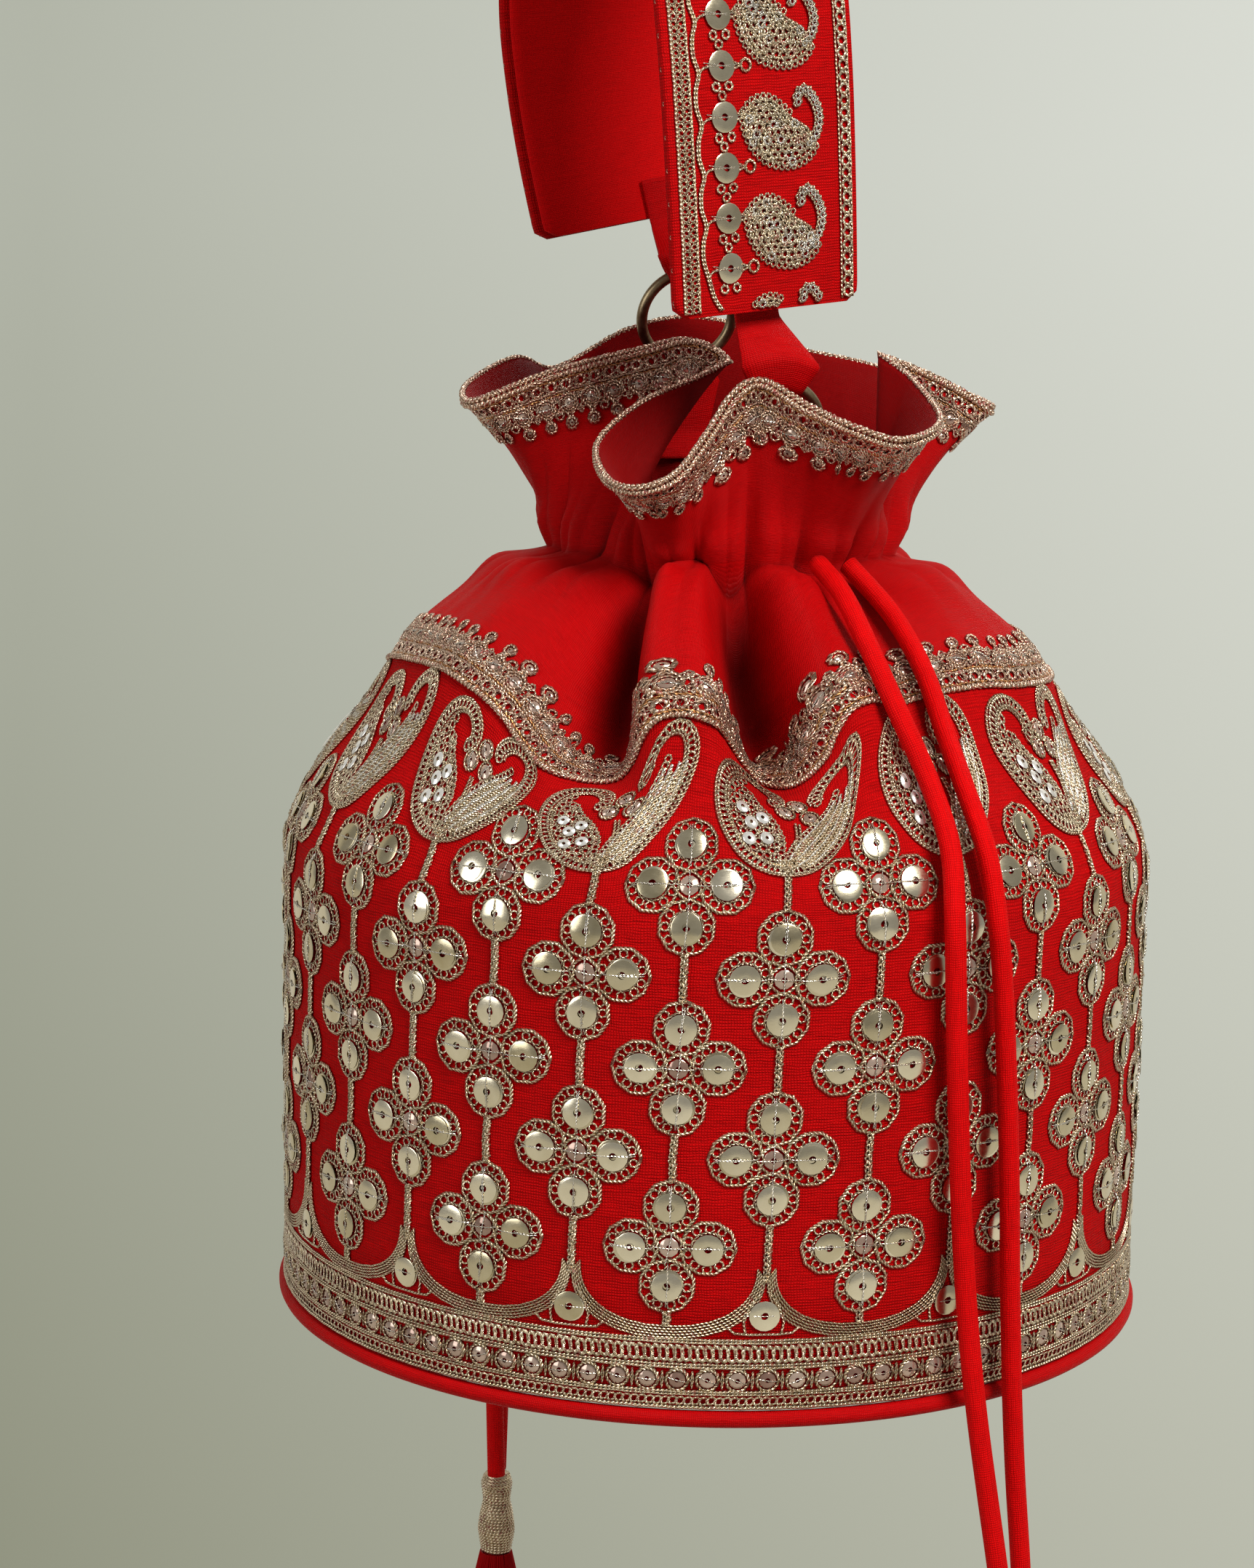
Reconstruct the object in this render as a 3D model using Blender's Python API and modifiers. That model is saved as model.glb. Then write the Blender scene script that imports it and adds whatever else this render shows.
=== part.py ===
"""Potli bag: a drawstring pouch of red silk with gold thread work, hung from a short hand strap.

The bag hangs by two brass rings from the strap. The origin is the top of the strap, where a hand
or a hook carries it, +Z is up, and the side with the bow of the drawstring faces -Y.
Lengths are metres. Points of the bag are given from the middle of its base and moved by BAG_PLACE.
"""
import math

import bmesh
import bpy
import numpy as np
from mathutils import Vector

for old in list(bpy.data.objects):
    bpy.data.objects.remove(old)

MM = 0.001

# Body: a stiff round wall, a soft shoulder that is gathered into a neck, and a ruffle above it
BODY_RADIUS = 100.2 * MM
WALL_HEIGHT = 104.0 * MM
NECK_RADIUS = 38.0 * MM
NECK_HEIGHT = 172.5 * MM
PANEL_THICKNESS = 2.0 * MM
YOKE_THICKNESS = 1.2 * MM
SEAM_GAP = 0.3 * MM
SEAM_OPENING = 0.5 * MM
FOLD_DEPTH = 13.0 * MM
PLEAT_DEPTH = 2.4 * MM
PLEATS = 18
COLUMNS = 60
SEAM_PLACE = 0.42
SEAM_WAVE = 0.075

# Base: a cloth disc, the board that keeps it flat, and the corded edge round it
BASE_CLOTH = 1.2 * MM
BOARD_THICKNESS = 2.5 * MM
BOARD_CLEARANCE = 1.0 * MM
PIPING_DIAMETER = 3.8 * MM

# Gold work on the wall. Its columns lean: degrees per metre up from where they stand at their angle
REPEATS = 15
THREAD_RELIEF = 1.2 * MM
SHOULDER_LIFT = 0.9 * MM
HEM_HEIGHT = 16.2 * MM
FLOWER_WIDTH = 28.4 * MM
FLOWER_HEIGHT = 30.0 * MM
FLOWER_PITCH = 39.1 * MM
LOW_FLOWER = 35.8 * MM
STEM_WIDTH = 2.6 * MM
SCALLOP_RISE = 13.0 * MM
FIRST_COLUMN = -3.8
COLUMN_LEAN = 18.4
UPRIGHT_RUN = 70.0 * MM
TOP_STEM = 8.0 * MM
LIFT_START = 14.0 * MM
LIFT_END = 2.0 * MM

# Lace tapes on the seam and round the mouth
LACE_RELIEF = 1.3 * MM

# Mesh rows: shares of the way from the wall to the seam, on to the neck, and on to the mouth
PANEL_ROWS = (0.3, 0.58, 0.8, 1.0)
YOKE_ROWS = (0, 0.27, 0.55, 0.8, 1.0)
RUFFLE_ROWS = (0.38, 0.74, 1.0)

# Rings and the loops of silk that hold them
RING_DIAMETER = 25.0 * MM
RING_WIRE = 2.6 * MM
TAB_WIDTH = 12.0 * MM
TAB_THICKNESS = 1.0 * MM
LOOP_CLEARANCE = 0.3 * MM
TAB_OVERLAP = 9.0 * MM
TAB_HANG = 2.25 * MM
NEAR_TAB_SHIFT = 0.0 * MM
FAR_TAB_SHIFT = 9.0 * MM

# Where the bag's tabs are sewn inside the ruffle: angle, and shares of its height at their ends
NEAR_TAB_SEAT = (15.0, 0.2, 0.1)
FAR_TAB_SEAT = (194.0, 0.42, 0.3)
TAB_SEAT_GAP = 0.5 * MM

# Strap
STRAP_WIDTH = 50.0 * MM
STRAP_THICKNESS = 2.6 * MM
LINING_THICKNESS = 1.0 * MM
LINING_INSET = 1.5 * MM
LINING_GAP = 0.5 * MM
BRAID_WIDTH = 4.6 * MM
BRAID_RELIEF = 1.0 * MM
BRAID_INSET = 1.0 * MM
STRAP_STEPS = 18

# Drawstrings and tassels
CORD_DIAMETER = 4.8 * MM
CORD_STEPS = 19
CAP_LENGTH = 22.0 * MM
CAP_RADIUS = 4.2 * MM
SKIRT_LENGTH = 42.0 * MM
SKIRT_RADIUS = 7.5 * MM

# The shoulder's section: share of the way in to the neck, and share of the way up to it
SHOULDER = ((0, 0), (0.025, 0.09), (0.14, 0.29), (0.31, 0.49), (0.455, 0.69), (0.57, 0.79),
            (0.745, 0.905), (0.89, 0.96), (1, 1))

# Folds of the shoulder: angle in degrees from the front towards +X, and height of the fold
FOLDS = ((-5, 0.35), (10, -1.0), (24, 0.22), (37, -0.35), (62, 0.25), (88, 0.0), (112, -0.8),
         (135, 0.3), (158, -0.7), (178, 0.3), (200, -0.9), (222, 0.3), (246, -0.6), (270, 0.0),
         (299, 0.22), (330, -0.35), (345, -1.0))

# The mouth's edge: angle where its cloth leaves the neck, then X, Y and height above the neck in mm
MOUTH = ((180, -7, 50, 50), (205, -24, 46, 47), (222, -41, 38, 38), (236, -50, 27, 41),
         (252, -60, 8, 36), (268, -57, -14, 34), (285, -39, -14, 41), (300, -19, -4, 46),
         (310, -8, 2, 48), (318, 0, 0, 44), (324, -7, -12, 40), (330, -19, -24, 35),
         (336, -28, -38, 27), (341, -25, -54, 21), (346, -18, -62, 20), (351, -10, -60, 23),
         (356, -4, -50, 30), (363, 2, -44, 39), (372, 8, -42, 42), (382, 18, -46, 37),
         (392, 28, -51, 33), (403, 39, -47, 30), (412, 48, -30, 33), (420, 43, -8, 40),
         (428, 36, 4, 45), (438, 49, 8, 40), (452, 62, 12, 33), (468, 58, 32, 34),
         (485, 34, 44, 40), (500, 18, 46, 43), (515, 15, 50, 45))

# Ring centres and the strap's middle line, in mm from the middle of the neck
NEAR_RING = (10.4, -30, 30.7)
FAR_RING = (-9.4, 34, 51.6)
STRAP_LINE = ((8.6, -37, 57.5), (6.8, -38.5, 90), (4, -38, 123.5), (-1, -32, 155), (-8, -19, 180),
              (-16, 0, 191), (-23, 18, 183), (-29, 31, 160), (-32, 37.5, 126), (-28.5, 38.5, 98),
              (-23, 37, 73.5))
STRAP_TURN_NEAR = 37.0
STRAP_TURN_FAR = 23.0

# Free drawstrings, in mm from the middle of the base: the route that each hangs along
CORD_RIGHT_A = ((21.5, -41, 174.6), (24.4, -51, 172.1), (27.4, -57, 168.6), (32.4, -67.1, 159.4),
                (37.7, -72.8, 148.8), (42.8, -76, 138.1), (47.5, -82, 128.3), (50, -88, 118.5),
                (50.8, -92.6, 106), (51.8, -92, 86), (53.6, -91.5, 54), (55.4, -91.2, 30),
                (58, -91, 6), (61, -90.5, -14), (65, -90, -38), (68.5, -89.5, -62), (70, -89.2, -84))
CORD_RIGHT_B = ((28, -38.5, 174.4), (31, -40, 172.1), (34, -42, 169.5), (38.4, -46, 163.5),
                (43, -52, 156.8), (46.5, -58.5, 148.7), (49.6, -65.5, 140.2), (52.8, -74.3, 132.1),
                (56.2, -80.4, 123.6), (59, -85.4, 113.5), (60.8, -87, 100), (62.3, -86, 86),
                (64.7, -84.5, 52), (66.2, -83.5, 20), (68.2, -83, -13), (71, -83, -44),
                (72.4, -84, -66), (72.6, -84.6, -84))
CORD_LEFT_A = ((-26, 38.4, 174), (-31, 48, 168.8), (-35.1, 56.4, 161), (-39.9, 64.2, 151.6),
               (-44.2, 71, 142), (-48.6, 77.6, 134), (-51.8, 82.7, 125), (-54.5, 87.3, 115.5),
               (-56, 89.7, 104), (-56.4, 90.1, 60), (-56.6, 90.2, 20), (-56.6, 90, -20),
               (-56, 89.6, -56), (-55, 89.4, -90))
CORD_LEFT_B = ((-20, 43, 173.6), (-25, 50.2, 166.8), (-29.6, 57.6, 158.6), (-33.4, 65, 150),
               (-37.6, 73, 141.4), (-42.2, 81.6, 134.4), (-45.2, 86.9, 125.4), (-47.5, 90.9, 115.6),
               (-49.2, 93.4, 104), (-50, 94, 60), (-51.2, 94.6, 20), (-52.8, 94.8, -20),
               (-54.2, 94.8, -56), (-55, 94.6, -90))

COLLECTION = "Potli bag"


def material(name, colour, roughness, metallic=0.0):
    """One Principled material."""
    made = bpy.data.materials.new(name)
    made.use_nodes = True
    shader = made.node_tree.nodes["Principled BSDF"]
    shader.inputs["Base Color"].default_value = (*colour, 1.0)
    shader.inputs["Roughness"].default_value = roughness
    shader.inputs["Metallic"].default_value = metallic
    return made


def periodic(knots, values, at, period):
    """A smooth closed curve through the values at uneven knots, with cubic pieces."""
    knots = np.asarray(knots, float)
    values = np.asarray(values, float).reshape(len(knots), -1)
    at = (np.atleast_1d(at) - knots[0]) % period + knots[0]
    wide = np.concatenate([knots[-2:] - period, knots, knots[:2] + period])
    tall = np.concatenate([values[-2:], values, values[:2]])
    slope = (tall[2:] - tall[:-2]) / (wide[2:] - wide[:-2])[:, None]
    wide = wide[1:-1]
    tall = tall[1:-1]
    low = np.clip(np.searchsorted(wide, at, side="right") - 1, 0, len(wide) - 2)
    span = wide[low + 1] - wide[low]
    t = ((at - wide[low]) / span)[:, None]
    return ((2 * t**3 - 3 * t**2 + 1) * tall[low] + (t**3 - 2 * t**2 + t) * span[:, None] * slope[low]
            + (3 * t**2 - 2 * t**3) * tall[low + 1] + (t**3 - t**2) * span[:, None] * slope[low + 1])


def through(points, count):
    """Evenly spaced points on a smooth open curve through the given ones."""
    points = np.asarray(points, float)
    ends = np.vstack([2 * points[0] - points[1], points, 2 * points[-1] - points[-2]])
    t = np.linspace(0, 1, 25)[:-1, None]
    pieces = []
    for a, b, c, d in zip(ends, ends[1:], ends[2:], ends[3:]):
        pieces.append(0.5 * (2 * b + (c - a) * t + (2 * a - 5 * b + 4 * c - d) * t**2
                             + (3 * b - a - 3 * c + d) * t**3))
    fine = np.vstack([*pieces, points[-1:]])
    run = np.concatenate([[0], np.cumsum(np.linalg.norm(np.diff(fine, axis=0), axis=1))])
    return np.column_stack([np.interp(np.linspace(0, run[-1], count), run, fine[:, k]) for k in range(3)])


def smooth_step(low, high, value):
    """0 below low, 1 above high, and an S between them."""
    t = np.clip((value - low) / (high - low), 0, 1)
    return t * t * (3 - 2 * t)


def unit(vector):
    """The vector at length 1."""
    return vector / np.linalg.norm(vector, axis=-1, keepdims=True)


def shoulder_section():
    """Fine points on the shoulder's section, with their share of its length, and its full length."""
    shares = np.array([(across, up, 0) for across, up in SHOULDER])
    line = through(shares, 200)
    radius = BODY_RADIUS - line[:, 0] * (BODY_RADIUS - NECK_RADIUS)
    height = WALL_HEIGHT + line[:, 1] * (NECK_HEIGHT - WALL_HEIGHT)
    step = np.hypot(np.diff(radius), np.diff(height))
    run = np.concatenate([[0], np.cumsum(step)])
    return run / run[-1], radius, height, run[-1]


SECTION = shoulder_section()
SHOULDER_LENGTH = SECTION[3]


def fold_height(angle):
    """Height of the folds at an angle in degrees: 0 on the plain shoulder, -1 in the deepest fold."""
    return periodic([a for a, _ in FOLDS], [h for _, h in FOLDS], angle, 360.0)[:, 0]


def shoulder(angle, place, lift=0.0):
    """Points on the shoulder's outer face. place is 0 at the top of the wall and 1 at the neck."""
    angle, place, lift = np.broadcast_arrays(np.atleast_1d(angle).astype(float), place, lift)
    share, radius, height, _ = SECTION
    r = np.interp(place, share, radius)
    z = np.interp(place, share, height)
    ahead = np.minimum(place + 0.02, 1)
    behind = np.maximum(place - 0.02, 0)
    along = unit(np.column_stack([np.interp(ahead, share, radius) - np.interp(behind, share, radius),
                                  np.interp(ahead, share, height) - np.interp(behind, share, height)]))
    fold = FOLD_DEPTH * smooth_step(0.25, 0.55, place) * (1 - 0.85 * smooth_step(0.72, 1, place))
    pleat = PLEAT_DEPTH * smooth_step(0.8, 1, place)
    out = fold * fold_height(angle) + lift
    wave = np.radians(angle)
    r = r + out * along[:, 1] + pleat * np.cos(PLEATS * wave + 1.2 * np.sin(3 * wave))
    z = z - out * along[:, 0]
    return np.column_stack([r * np.sin(wave), -r * np.cos(wave), z])


def wall_or_shoulder(angle, run, lift=0.0):
    """Points on the body's outer face at a length run up from the base."""
    angle, run, lift = np.broadcast_arrays(np.atleast_1d(angle).astype(float), run, lift)
    wave = np.radians(angle)
    on_wall = np.column_stack([(BODY_RADIUS + lift) * np.sin(wave), -(BODY_RADIUS + lift) * np.cos(wave), run])
    above = shoulder(angle, np.clip((run - WALL_HEIGHT) / SHOULDER_LENGTH, 0, 1), lift)
    return np.where((run < WALL_HEIGHT)[:, None], on_wall, above)


def seam_place(angle):
    """Where the panel meets the yoke, as a place on the shoulder: high on a fold, low between two."""
    return SEAM_PLACE + SEAM_WAVE * fold_height(angle)


def neck_radius(angle):
    """The pleated neck's outer radius at an angle."""
    wave = np.radians(angle)
    return NECK_RADIUS + PLEAT_DEPTH * np.cos(PLEATS * wave + 1.2 * np.sin(3 * wave))


def mouth_edge(angle):
    """Points of the mouth's edge over the cloth that leaves the neck at an angle."""
    points = periodic([m[0] for m in MOUTH], [m[1:] for m in MOUTH], angle, 360.0) * MM
    return points + (0, 0, NECK_HEIGHT)


def ruffle(angle, share):
    """Points on the ruffle's outer face: share is 0 at the neck and 1 at the mouth's edge."""
    angle, share = np.broadcast_arrays(np.atleast_1d(angle).astype(float), share)
    wave = np.radians(angle)
    neck = np.column_stack([neck_radius(angle) * np.sin(wave), -neck_radius(angle) * np.cos(wave),
                            np.full(len(angle), NECK_HEIGHT)])
    edge = mouth_edge(angle)
    across = (0.75 * share + 0.25 * share**2)[:, None]
    up = (1.25 * share - 0.25 * share**2)[:, None]
    mixed = neck + (edge - neck) * across
    mixed[:, 2:] = neck[:, 2:] + (edge - neck)[:, 2:] * up
    return mixed


def column_angles():
    """Angles of the body's mesh columns: closer together where the mouth's edge runs a long way."""
    fine = np.linspace(-180, 180, 1441)
    edge = mouth_edge(fine)
    cost = np.linalg.norm(np.diff(edge, axis=0), axis=1) / (11 * MM) + np.diff(fine) / 8.0
    run = np.concatenate([[0], np.cumsum(cost)])
    return np.interp(np.arange(COLUMNS) * run[-1] / COLUMNS, run, fine)


ANGLES = column_angles()


def object_from(name, mesh_maker, finish, closed=True):
    """A new object in the bag's collection from a bmesh. An open sheet keeps the side it faces."""
    if closed:
        bmesh.ops.recalc_face_normals(mesh_maker, faces=mesh_maker.faces)
    mesh = bpy.data.meshes.new(name)
    mesh_maker.to_mesh(mesh)
    mesh_maker.free()
    made = bpy.data.objects.new(name, mesh)
    made.data.materials.append(finish)
    PARTS.objects.link(made)
    made.parent = BAG_PLACE
    mesh.shade_smooth()
    mesh.set_sharp_from_angle(angle=math.radians(50))
    return made


def skin(made, rows, closed=True, outward=True):
    """Triangles over rows of points in a bmesh; closed joins each row's last point to its first.

    Every skin is split along the same diagonals, so that two laid on each other don't cut through.
    """
    grid = [[made.verts.new(p) for p in row] for row in rows]
    turn = 1 if outward else -1
    for low, high in zip(grid, grid[1:]):
        for k in range(len(low) if closed else len(low) - 1):
            after = (k + 1) % len(low)
            made.faces.new((low[k], low[after], high[after])[::turn])
            made.faces.new((low[k], high[after], high[k])[::turn])
    return grid


def band(made, low, high):
    """Quads from one closed row of corners to another."""
    for k in range(len(low)):
        after = (k + 1) % len(low)
        made.faces.new((low[k], low[after], high[after], high[k]))


def normals(rows):
    """Outward normals at the points of rows that each close on themselves."""
    rows = np.asarray(rows)
    along = np.roll(rows, -1, axis=1) - np.roll(rows, 1, axis=1)
    up = np.gradient(rows, axis=0)
    return unit(np.cross(along, up))


def cloth(name, rows, thickness, finish, below=(), above=()):
    """A closed round of cloth. rows are its outer face, from the lowest up.

    below and above are rows past its edges, on the next piece of cloth, that only set how the edge
    is turned.
    """
    outward = normals([*below, *rows, *above])[len(below):len(below) + len(rows)]
    made = bmesh.new()
    outer = skin(made, rows)
    inner = skin(made, np.asarray(rows) - outward * thickness, outward=False)
    band(made, inner[0], outer[0])
    band(made, outer[-1], inner[-1])
    return object_from(name, made, finish)


def loft(sections, name, finish):
    """A closed solid through closed sections with the same number of points."""
    made = bmesh.new()
    rings = [[made.verts.new(p) for p in section] for section in sections]
    count = len(rings[0])
    for low, high in zip(rings, rings[1:]):
        for k in range(count):
            after = (k + 1) % count
            made.faces.new((low[k], low[after], high[after], high[k]))
    made.faces.new(rings[0][::-1])
    made.faces.new(rings[-1])
    return object_from(name, made, finish)


def turned(name, profile, steps, finish, centre=(0, 0, 0)):
    """A solid of revolution about Z. The profile is a closed outline, or runs from axis to axis."""
    made = bmesh.new()
    corners = [made.verts.new((r, 0, z)) for r, z in profile]
    for a, b in zip(corners, corners[1:]):
        made.edges.new((a, b))
    if min(r for r, _ in profile) > 0:
        made.edges.new((corners[-1], corners[0]))
    bmesh.ops.spin(made, geom=[*made.verts, *made.edges], axis=(0, 0, 1), cent=(0, 0, 0),
                   steps=steps, angle=2 * math.pi)
    bmesh.ops.remove_doubles(made, verts=made.verts, dist=0.01 * MM)
    bmesh.ops.translate(made, verts=made.verts, vec=centre)
    return object_from(name, made, finish)


def panel_rows():
    """Rows up the panel's outer face: the straight wall, then the lower shoulder up to the seam."""
    seam = seam_place(ANGLES)
    rows = [wall_or_shoulder(ANGLES, 0.0), wall_or_shoulder(ANGLES, WALL_HEIGHT)]
    return rows + [shoulder(ANGLES, share * seam) for share in PANEL_ROWS]


def yoke_rows():
    """Rows up the yoke's outer face: the shoulder from the seam to the neck, then the ruffle."""
    start = seam_place(ANGLES) + SEAM_OPENING / SHOULDER_LENGTH
    rows = [shoulder(ANGLES, start + (1 - start) * share) for share in YOKE_ROWS]
    return rows + [ruffle(ANGLES, share) for share in RUFFLE_ROWS]


def body_panel():
    """The embroidered panel, in one piece with the folded lower shoulder."""
    rows = panel_rows()
    cloth("body_panel", rows, PANEL_THICKNESS, SILK_PANEL, above=yoke_rows()[1:2])


def yoke():
    """The plain silk above the seam: the gathered shoulder, the pleated neck and the ruffle."""
    cloth("yoke", yoke_rows(), YOKE_THICKNESS, SILK_PLAIN, below=panel_rows()[-2:-1])


def base_pieces():
    """The cloth base inside the wall's foot, the board on it and the corded edge below the wall."""
    inner = BODY_RADIUS * math.cos(math.radians(4)) - PANEL_THICKNESS - SEAM_GAP
    top = BASE_CLOTH
    turned("base_panel", ((0, 0), (inner, 0), (inner, top), (0, top)), 40, SILK_PANEL)
    low = top + SEAM_GAP
    high = low + BOARD_THICKNESS
    edge = inner - BOARD_CLEARANCE
    turned("base_board", ((0, low), (edge, low), (edge, high), (0, high)), 32, BOARD)
    radius = PIPING_DIAMETER / 2
    middle = BODY_RADIUS
    ring = [(middle + radius * math.cos(a), -SEAM_GAP - radius + radius * math.sin(a))
            for a in np.radians(np.arange(30, 390, 60))]
    turned("base_piping", ring, 36, SILK_PLAIN)


class GoldNet:
    """Raised thread work laid on the body: one connected net of hem, stems and flowers.

    Each shape is flat below and ridged above. Where two shapes meet they share a three-cornered
    section, two corners on the cloth and one raised between them, so the net is one closed body.
    """

    def __init__(self):
        self.net = bmesh.new()
        self.corners = {}
        self.stem_half = math.degrees(STEM_WIDTH / 2 / BODY_RADIUS)
        self.flower_half = math.degrees(FLOWER_WIDTH / 2 / BODY_RADIUS)

    def corner(self, angle, run, high=0.0):
        """The net's corner at an angle, a length run up from the base and a height over the cloth."""
        key = (round(angle % 360, 2) % 360, round(run / MM, 2), round(high / MM, 2))
        if key not in self.corners:
            lift = SEAM_GAP + high + SHOULDER_LIFT * smooth_step(-LIFT_START, -LIFT_END, run - WALL_HEIGHT)
            leaning = angle + COLUMN_LEAN * (run - UPRIGHT_RUN)
            self.corners[key] = self.net.verts.new(wall_or_shoulder(leaning, run, lift)[0])
        return self.corners[key]

    def face(self, *corners):
        """One face between corners."""
        return self.net.faces.new(corners)

    def joint(self, angle, run):
        """The shared section where a stem meets another shape: left, raised middle, right."""
        return (self.corner(angle - self.stem_half, run), self.corner(angle, run, 0.8 * THREAD_RELIEF),
                self.corner(angle + self.stem_half, run))

    def flower(self, angle, run, open_above=True):
        """Four domed petals round a low middle, joined to the stems above and below."""
        tall = FLOWER_HEIGHT / 2
        tip = self.stem_half / self.flower_half
        right = [(tip, 1.0), (0.43, 0.43), (1.0, 0.3), (1.0, -0.3), (0.43, -0.43), (tip, -1.0)]
        outline = right + [(-x, y) for x, y in right[::-1]]
        rim = [self.corner(angle + x * self.flower_half, run + y * tall) for x, y in outline]
        middle = self.corner(angle, run, 0.4 * THREAD_RELIEF)
        below = self.corner(angle, run)
        for before, after in zip(rim[-1:] + rim[:-1], rim):
            self.face(after, before, below)
        above_tip = self.joint(angle, run + tall)[1]
        below_tip = self.joint(angle, run - tall)[1]
        loops = (((0, 0.58), (rim[10], rim[11], above_tip, rim[0], rim[1])), ((0.6, 0), rim[1:5]),
                 ((0, -0.58), (rim[4], rim[5], below_tip, rim[6], rim[7])), ((-0.6, 0), rim[7:11]))
        for (x, y), around in loops:
            crown = self.corner(angle + x * self.flower_half, run + y * tall, THREAD_RELIEF)
            loop = [*around, middle]
            for before, after in zip(loop, loop[1:] + loop[:1]):
                self.face(before, after, crown)
        if not open_above:
            self.face(rim[11], above_tip, rim[0])

    def stem(self, angle, low, high, open_above=True):
        """A ridged stem between two joints."""
        left, middle, right = self.joint(angle, low)
        left_up, middle_up, right_up = self.joint(angle, high)
        self.face(right, left, left_up, right_up)
        self.face(left, middle, middle_up, left_up)
        self.face(middle, right, right_up, middle_up)
        if not open_above:
            self.face(left_up, middle_up, right_up)

    def hem(self, joints):
        """The hem braid with its scalloped top: joints gives the angle and height of each stem's foot."""
        line = []
        for (angle, low), (after, high) in zip(joints, joints[1:] + joints[:1]):
            after += 360 if after < angle else 0
            edge = self.stem_half
            line += [(angle - edge, low, False), (angle + edge, low, True)]
            line.append(((angle + after) / 2, min(low, high) + 0.28 * abs(high - low), False))
        foot = [self.corner(angle, 0.0) for angle, _, _ in line]
        spine = [self.corner(angle, 0.55 * HEM_HEIGHT, THREAD_RELIEF) for angle, _, _ in line]
        top = [self.corner(angle, run) for angle, run, _ in line]
        for k in range(len(line)):
            before = k - 1
            self.face(foot[before], foot[k], spine[k], spine[before])
            self.face(foot[k], foot[before], top[before], top[k])
            if line[k][2]:
                raised = self.joint((line[k][0] + line[before][0]) / 2, line[k][1])[1]
                self.face(spine[before], spine[k], raised)
                self.face(spine[before], raised, top[before])
                self.face(spine[k], top[k], raised)
            else:
                self.face(spine[before], spine[k], top[k], top[before])


def embroidery():
    """The gold net on the wall: hem, stems, and columns of two and three flowers by turns."""
    net = GoldNet()
    tall = FLOWER_HEIGHT / 2
    joints = []
    for repeat in range(REPEATS):
        for half, count, foot in ((0, 3, HEM_HEIGHT + 1 * MM), (1, 2, HEM_HEIGHT + SCALLOP_RISE)):
            angle = FIRST_COLUMN + (repeat + half / 2) * 360 / REPEATS
            joints.append((angle, foot))
            first = LOW_FLOWER + half * FLOWER_PITCH / 2
            low = foot
            for k in range(count):
                middle = first + k * FLOWER_PITCH
                net.stem(angle, low, middle - tall)
                net.flower(angle, middle, open_above=bool(half) or k < count - 1)
                low = middle + tall
            if half:
                net.stem(angle, low, low + TOP_STEM, open_above=False)
    net.hem(joints)
    object_from("zari_embroidery", net.net, ZARI)


def lace(name, rows, place):
    """A lace tape on the cloth from one of its rows of points to the next, with a raised spine."""
    outward = normals(rows)
    low = rows[place] + outward[place] * SEAM_GAP
    high = rows[place + 1] + outward[place + 1] * SEAM_GAP
    crest = (low + high) / 2 + unit(outward[place] + outward[place + 1]) * LACE_RELIEF
    made = bmesh.new()
    foot, top = skin(made, [low, high], outward=False)
    spine = [made.verts.new(p) for p in crest]
    band(made, foot, spine)
    band(made, spine, top)
    return object_from(name, made, LACE)


def laces():
    """Lace on the seam between panel and yoke, and round the mouth's edge."""
    rows = yoke_rows()
    lace("seam_lace", rows, 0)
    lace("mouth_lace", rows, len(rows) - 2)


def neck_point(point):
    """A place given in mm from the middle of the neck."""
    return np.array(point, float) * MM + (0, 0, NECK_HEIGHT)


RING_AXIS = unit(neck_point(FAR_RING) - neck_point(NEAR_RING))
RING_ACROSS = unit(np.cross(RING_AXIS, (0, 0, 1)))
RING_UP = np.cross(RING_ACROSS, RING_AXIS)


def ring(name, centre):
    """A brass ring in the plane square to the line through both rings."""
    bpy.ops.mesh.primitive_torus_add(major_radius=(RING_DIAMETER - RING_WIRE) / 2,
                                     minor_radius=RING_WIRE / 2, major_segments=18, minor_segments=8,
                                     location=centre)
    made = bpy.context.object
    made.rotation_euler = Vector(RING_AXIS).to_track_quat("Z", "Y").to_euler()
    made.name = name
    made.data.name = name
    made.data.materials.append(BRASS)
    made.data.shade_smooth()
    for home in list(made.users_collection):
        home.objects.unlink(made)
    PARTS.objects.link(made)
    made.parent = BAG_PLACE


def ring_loop(centre, side, tail, tail_across):
    """Rows across a strip of silk that passes through a ring and runs on to the last tail point.

    side is 1 for a loop over the ring's top and -1 for one under its foot. The strip bends round
    the ring's own middle there, and lies along tail_across at its tail.
    """
    reach = (RING_DIAMETER - RING_WIRE) / 2
    bend = RING_WIRE / 2 + LOOP_CLEARANCE + TAB_THICKNESS / 2
    spread = TAB_WIDTH / 2 / reach
    path = [(bend - 2 * bend + TAB_THICKNESS + SEAM_GAP * 1.5, reach + 3.2 * bend)]
    path += [(bend, reach + 1.2 * bend)]
    path += [(bend * math.cos(t), reach - bend * math.sin(t)) for t in np.radians((0, 45, 90, 135, 180))]
    path += [(-bend, reach + 1.2 * bend), (-bend, reach + 3.2 * bend)]
    rows = []
    for n, rho in path:
        rows.append([centre + n * RING_AXIS + rho * (side * RING_UP * math.cos(a) + RING_ACROSS * math.sin(a))
                     for a in np.linspace(-spread, spread, 3)])
    for at in tail:
        rows.append([at + tail_across * w for w in np.linspace(-TAB_WIDTH / 2, TAB_WIDTH / 2, 3)])
    return rows


def tab(name, rows):
    """A strip of silk from its rows of points."""
    strip = bmesh.new()
    skin(strip, rows, closed=False)
    made = object_from(name, strip, SILK_PLAIN, closed=False)
    wall = made.modifiers.new("Cloth", "SOLIDIFY")
    wall.thickness = TAB_THICKNESS
    wall.offset = 0
    wall.use_even_offset = True


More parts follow.
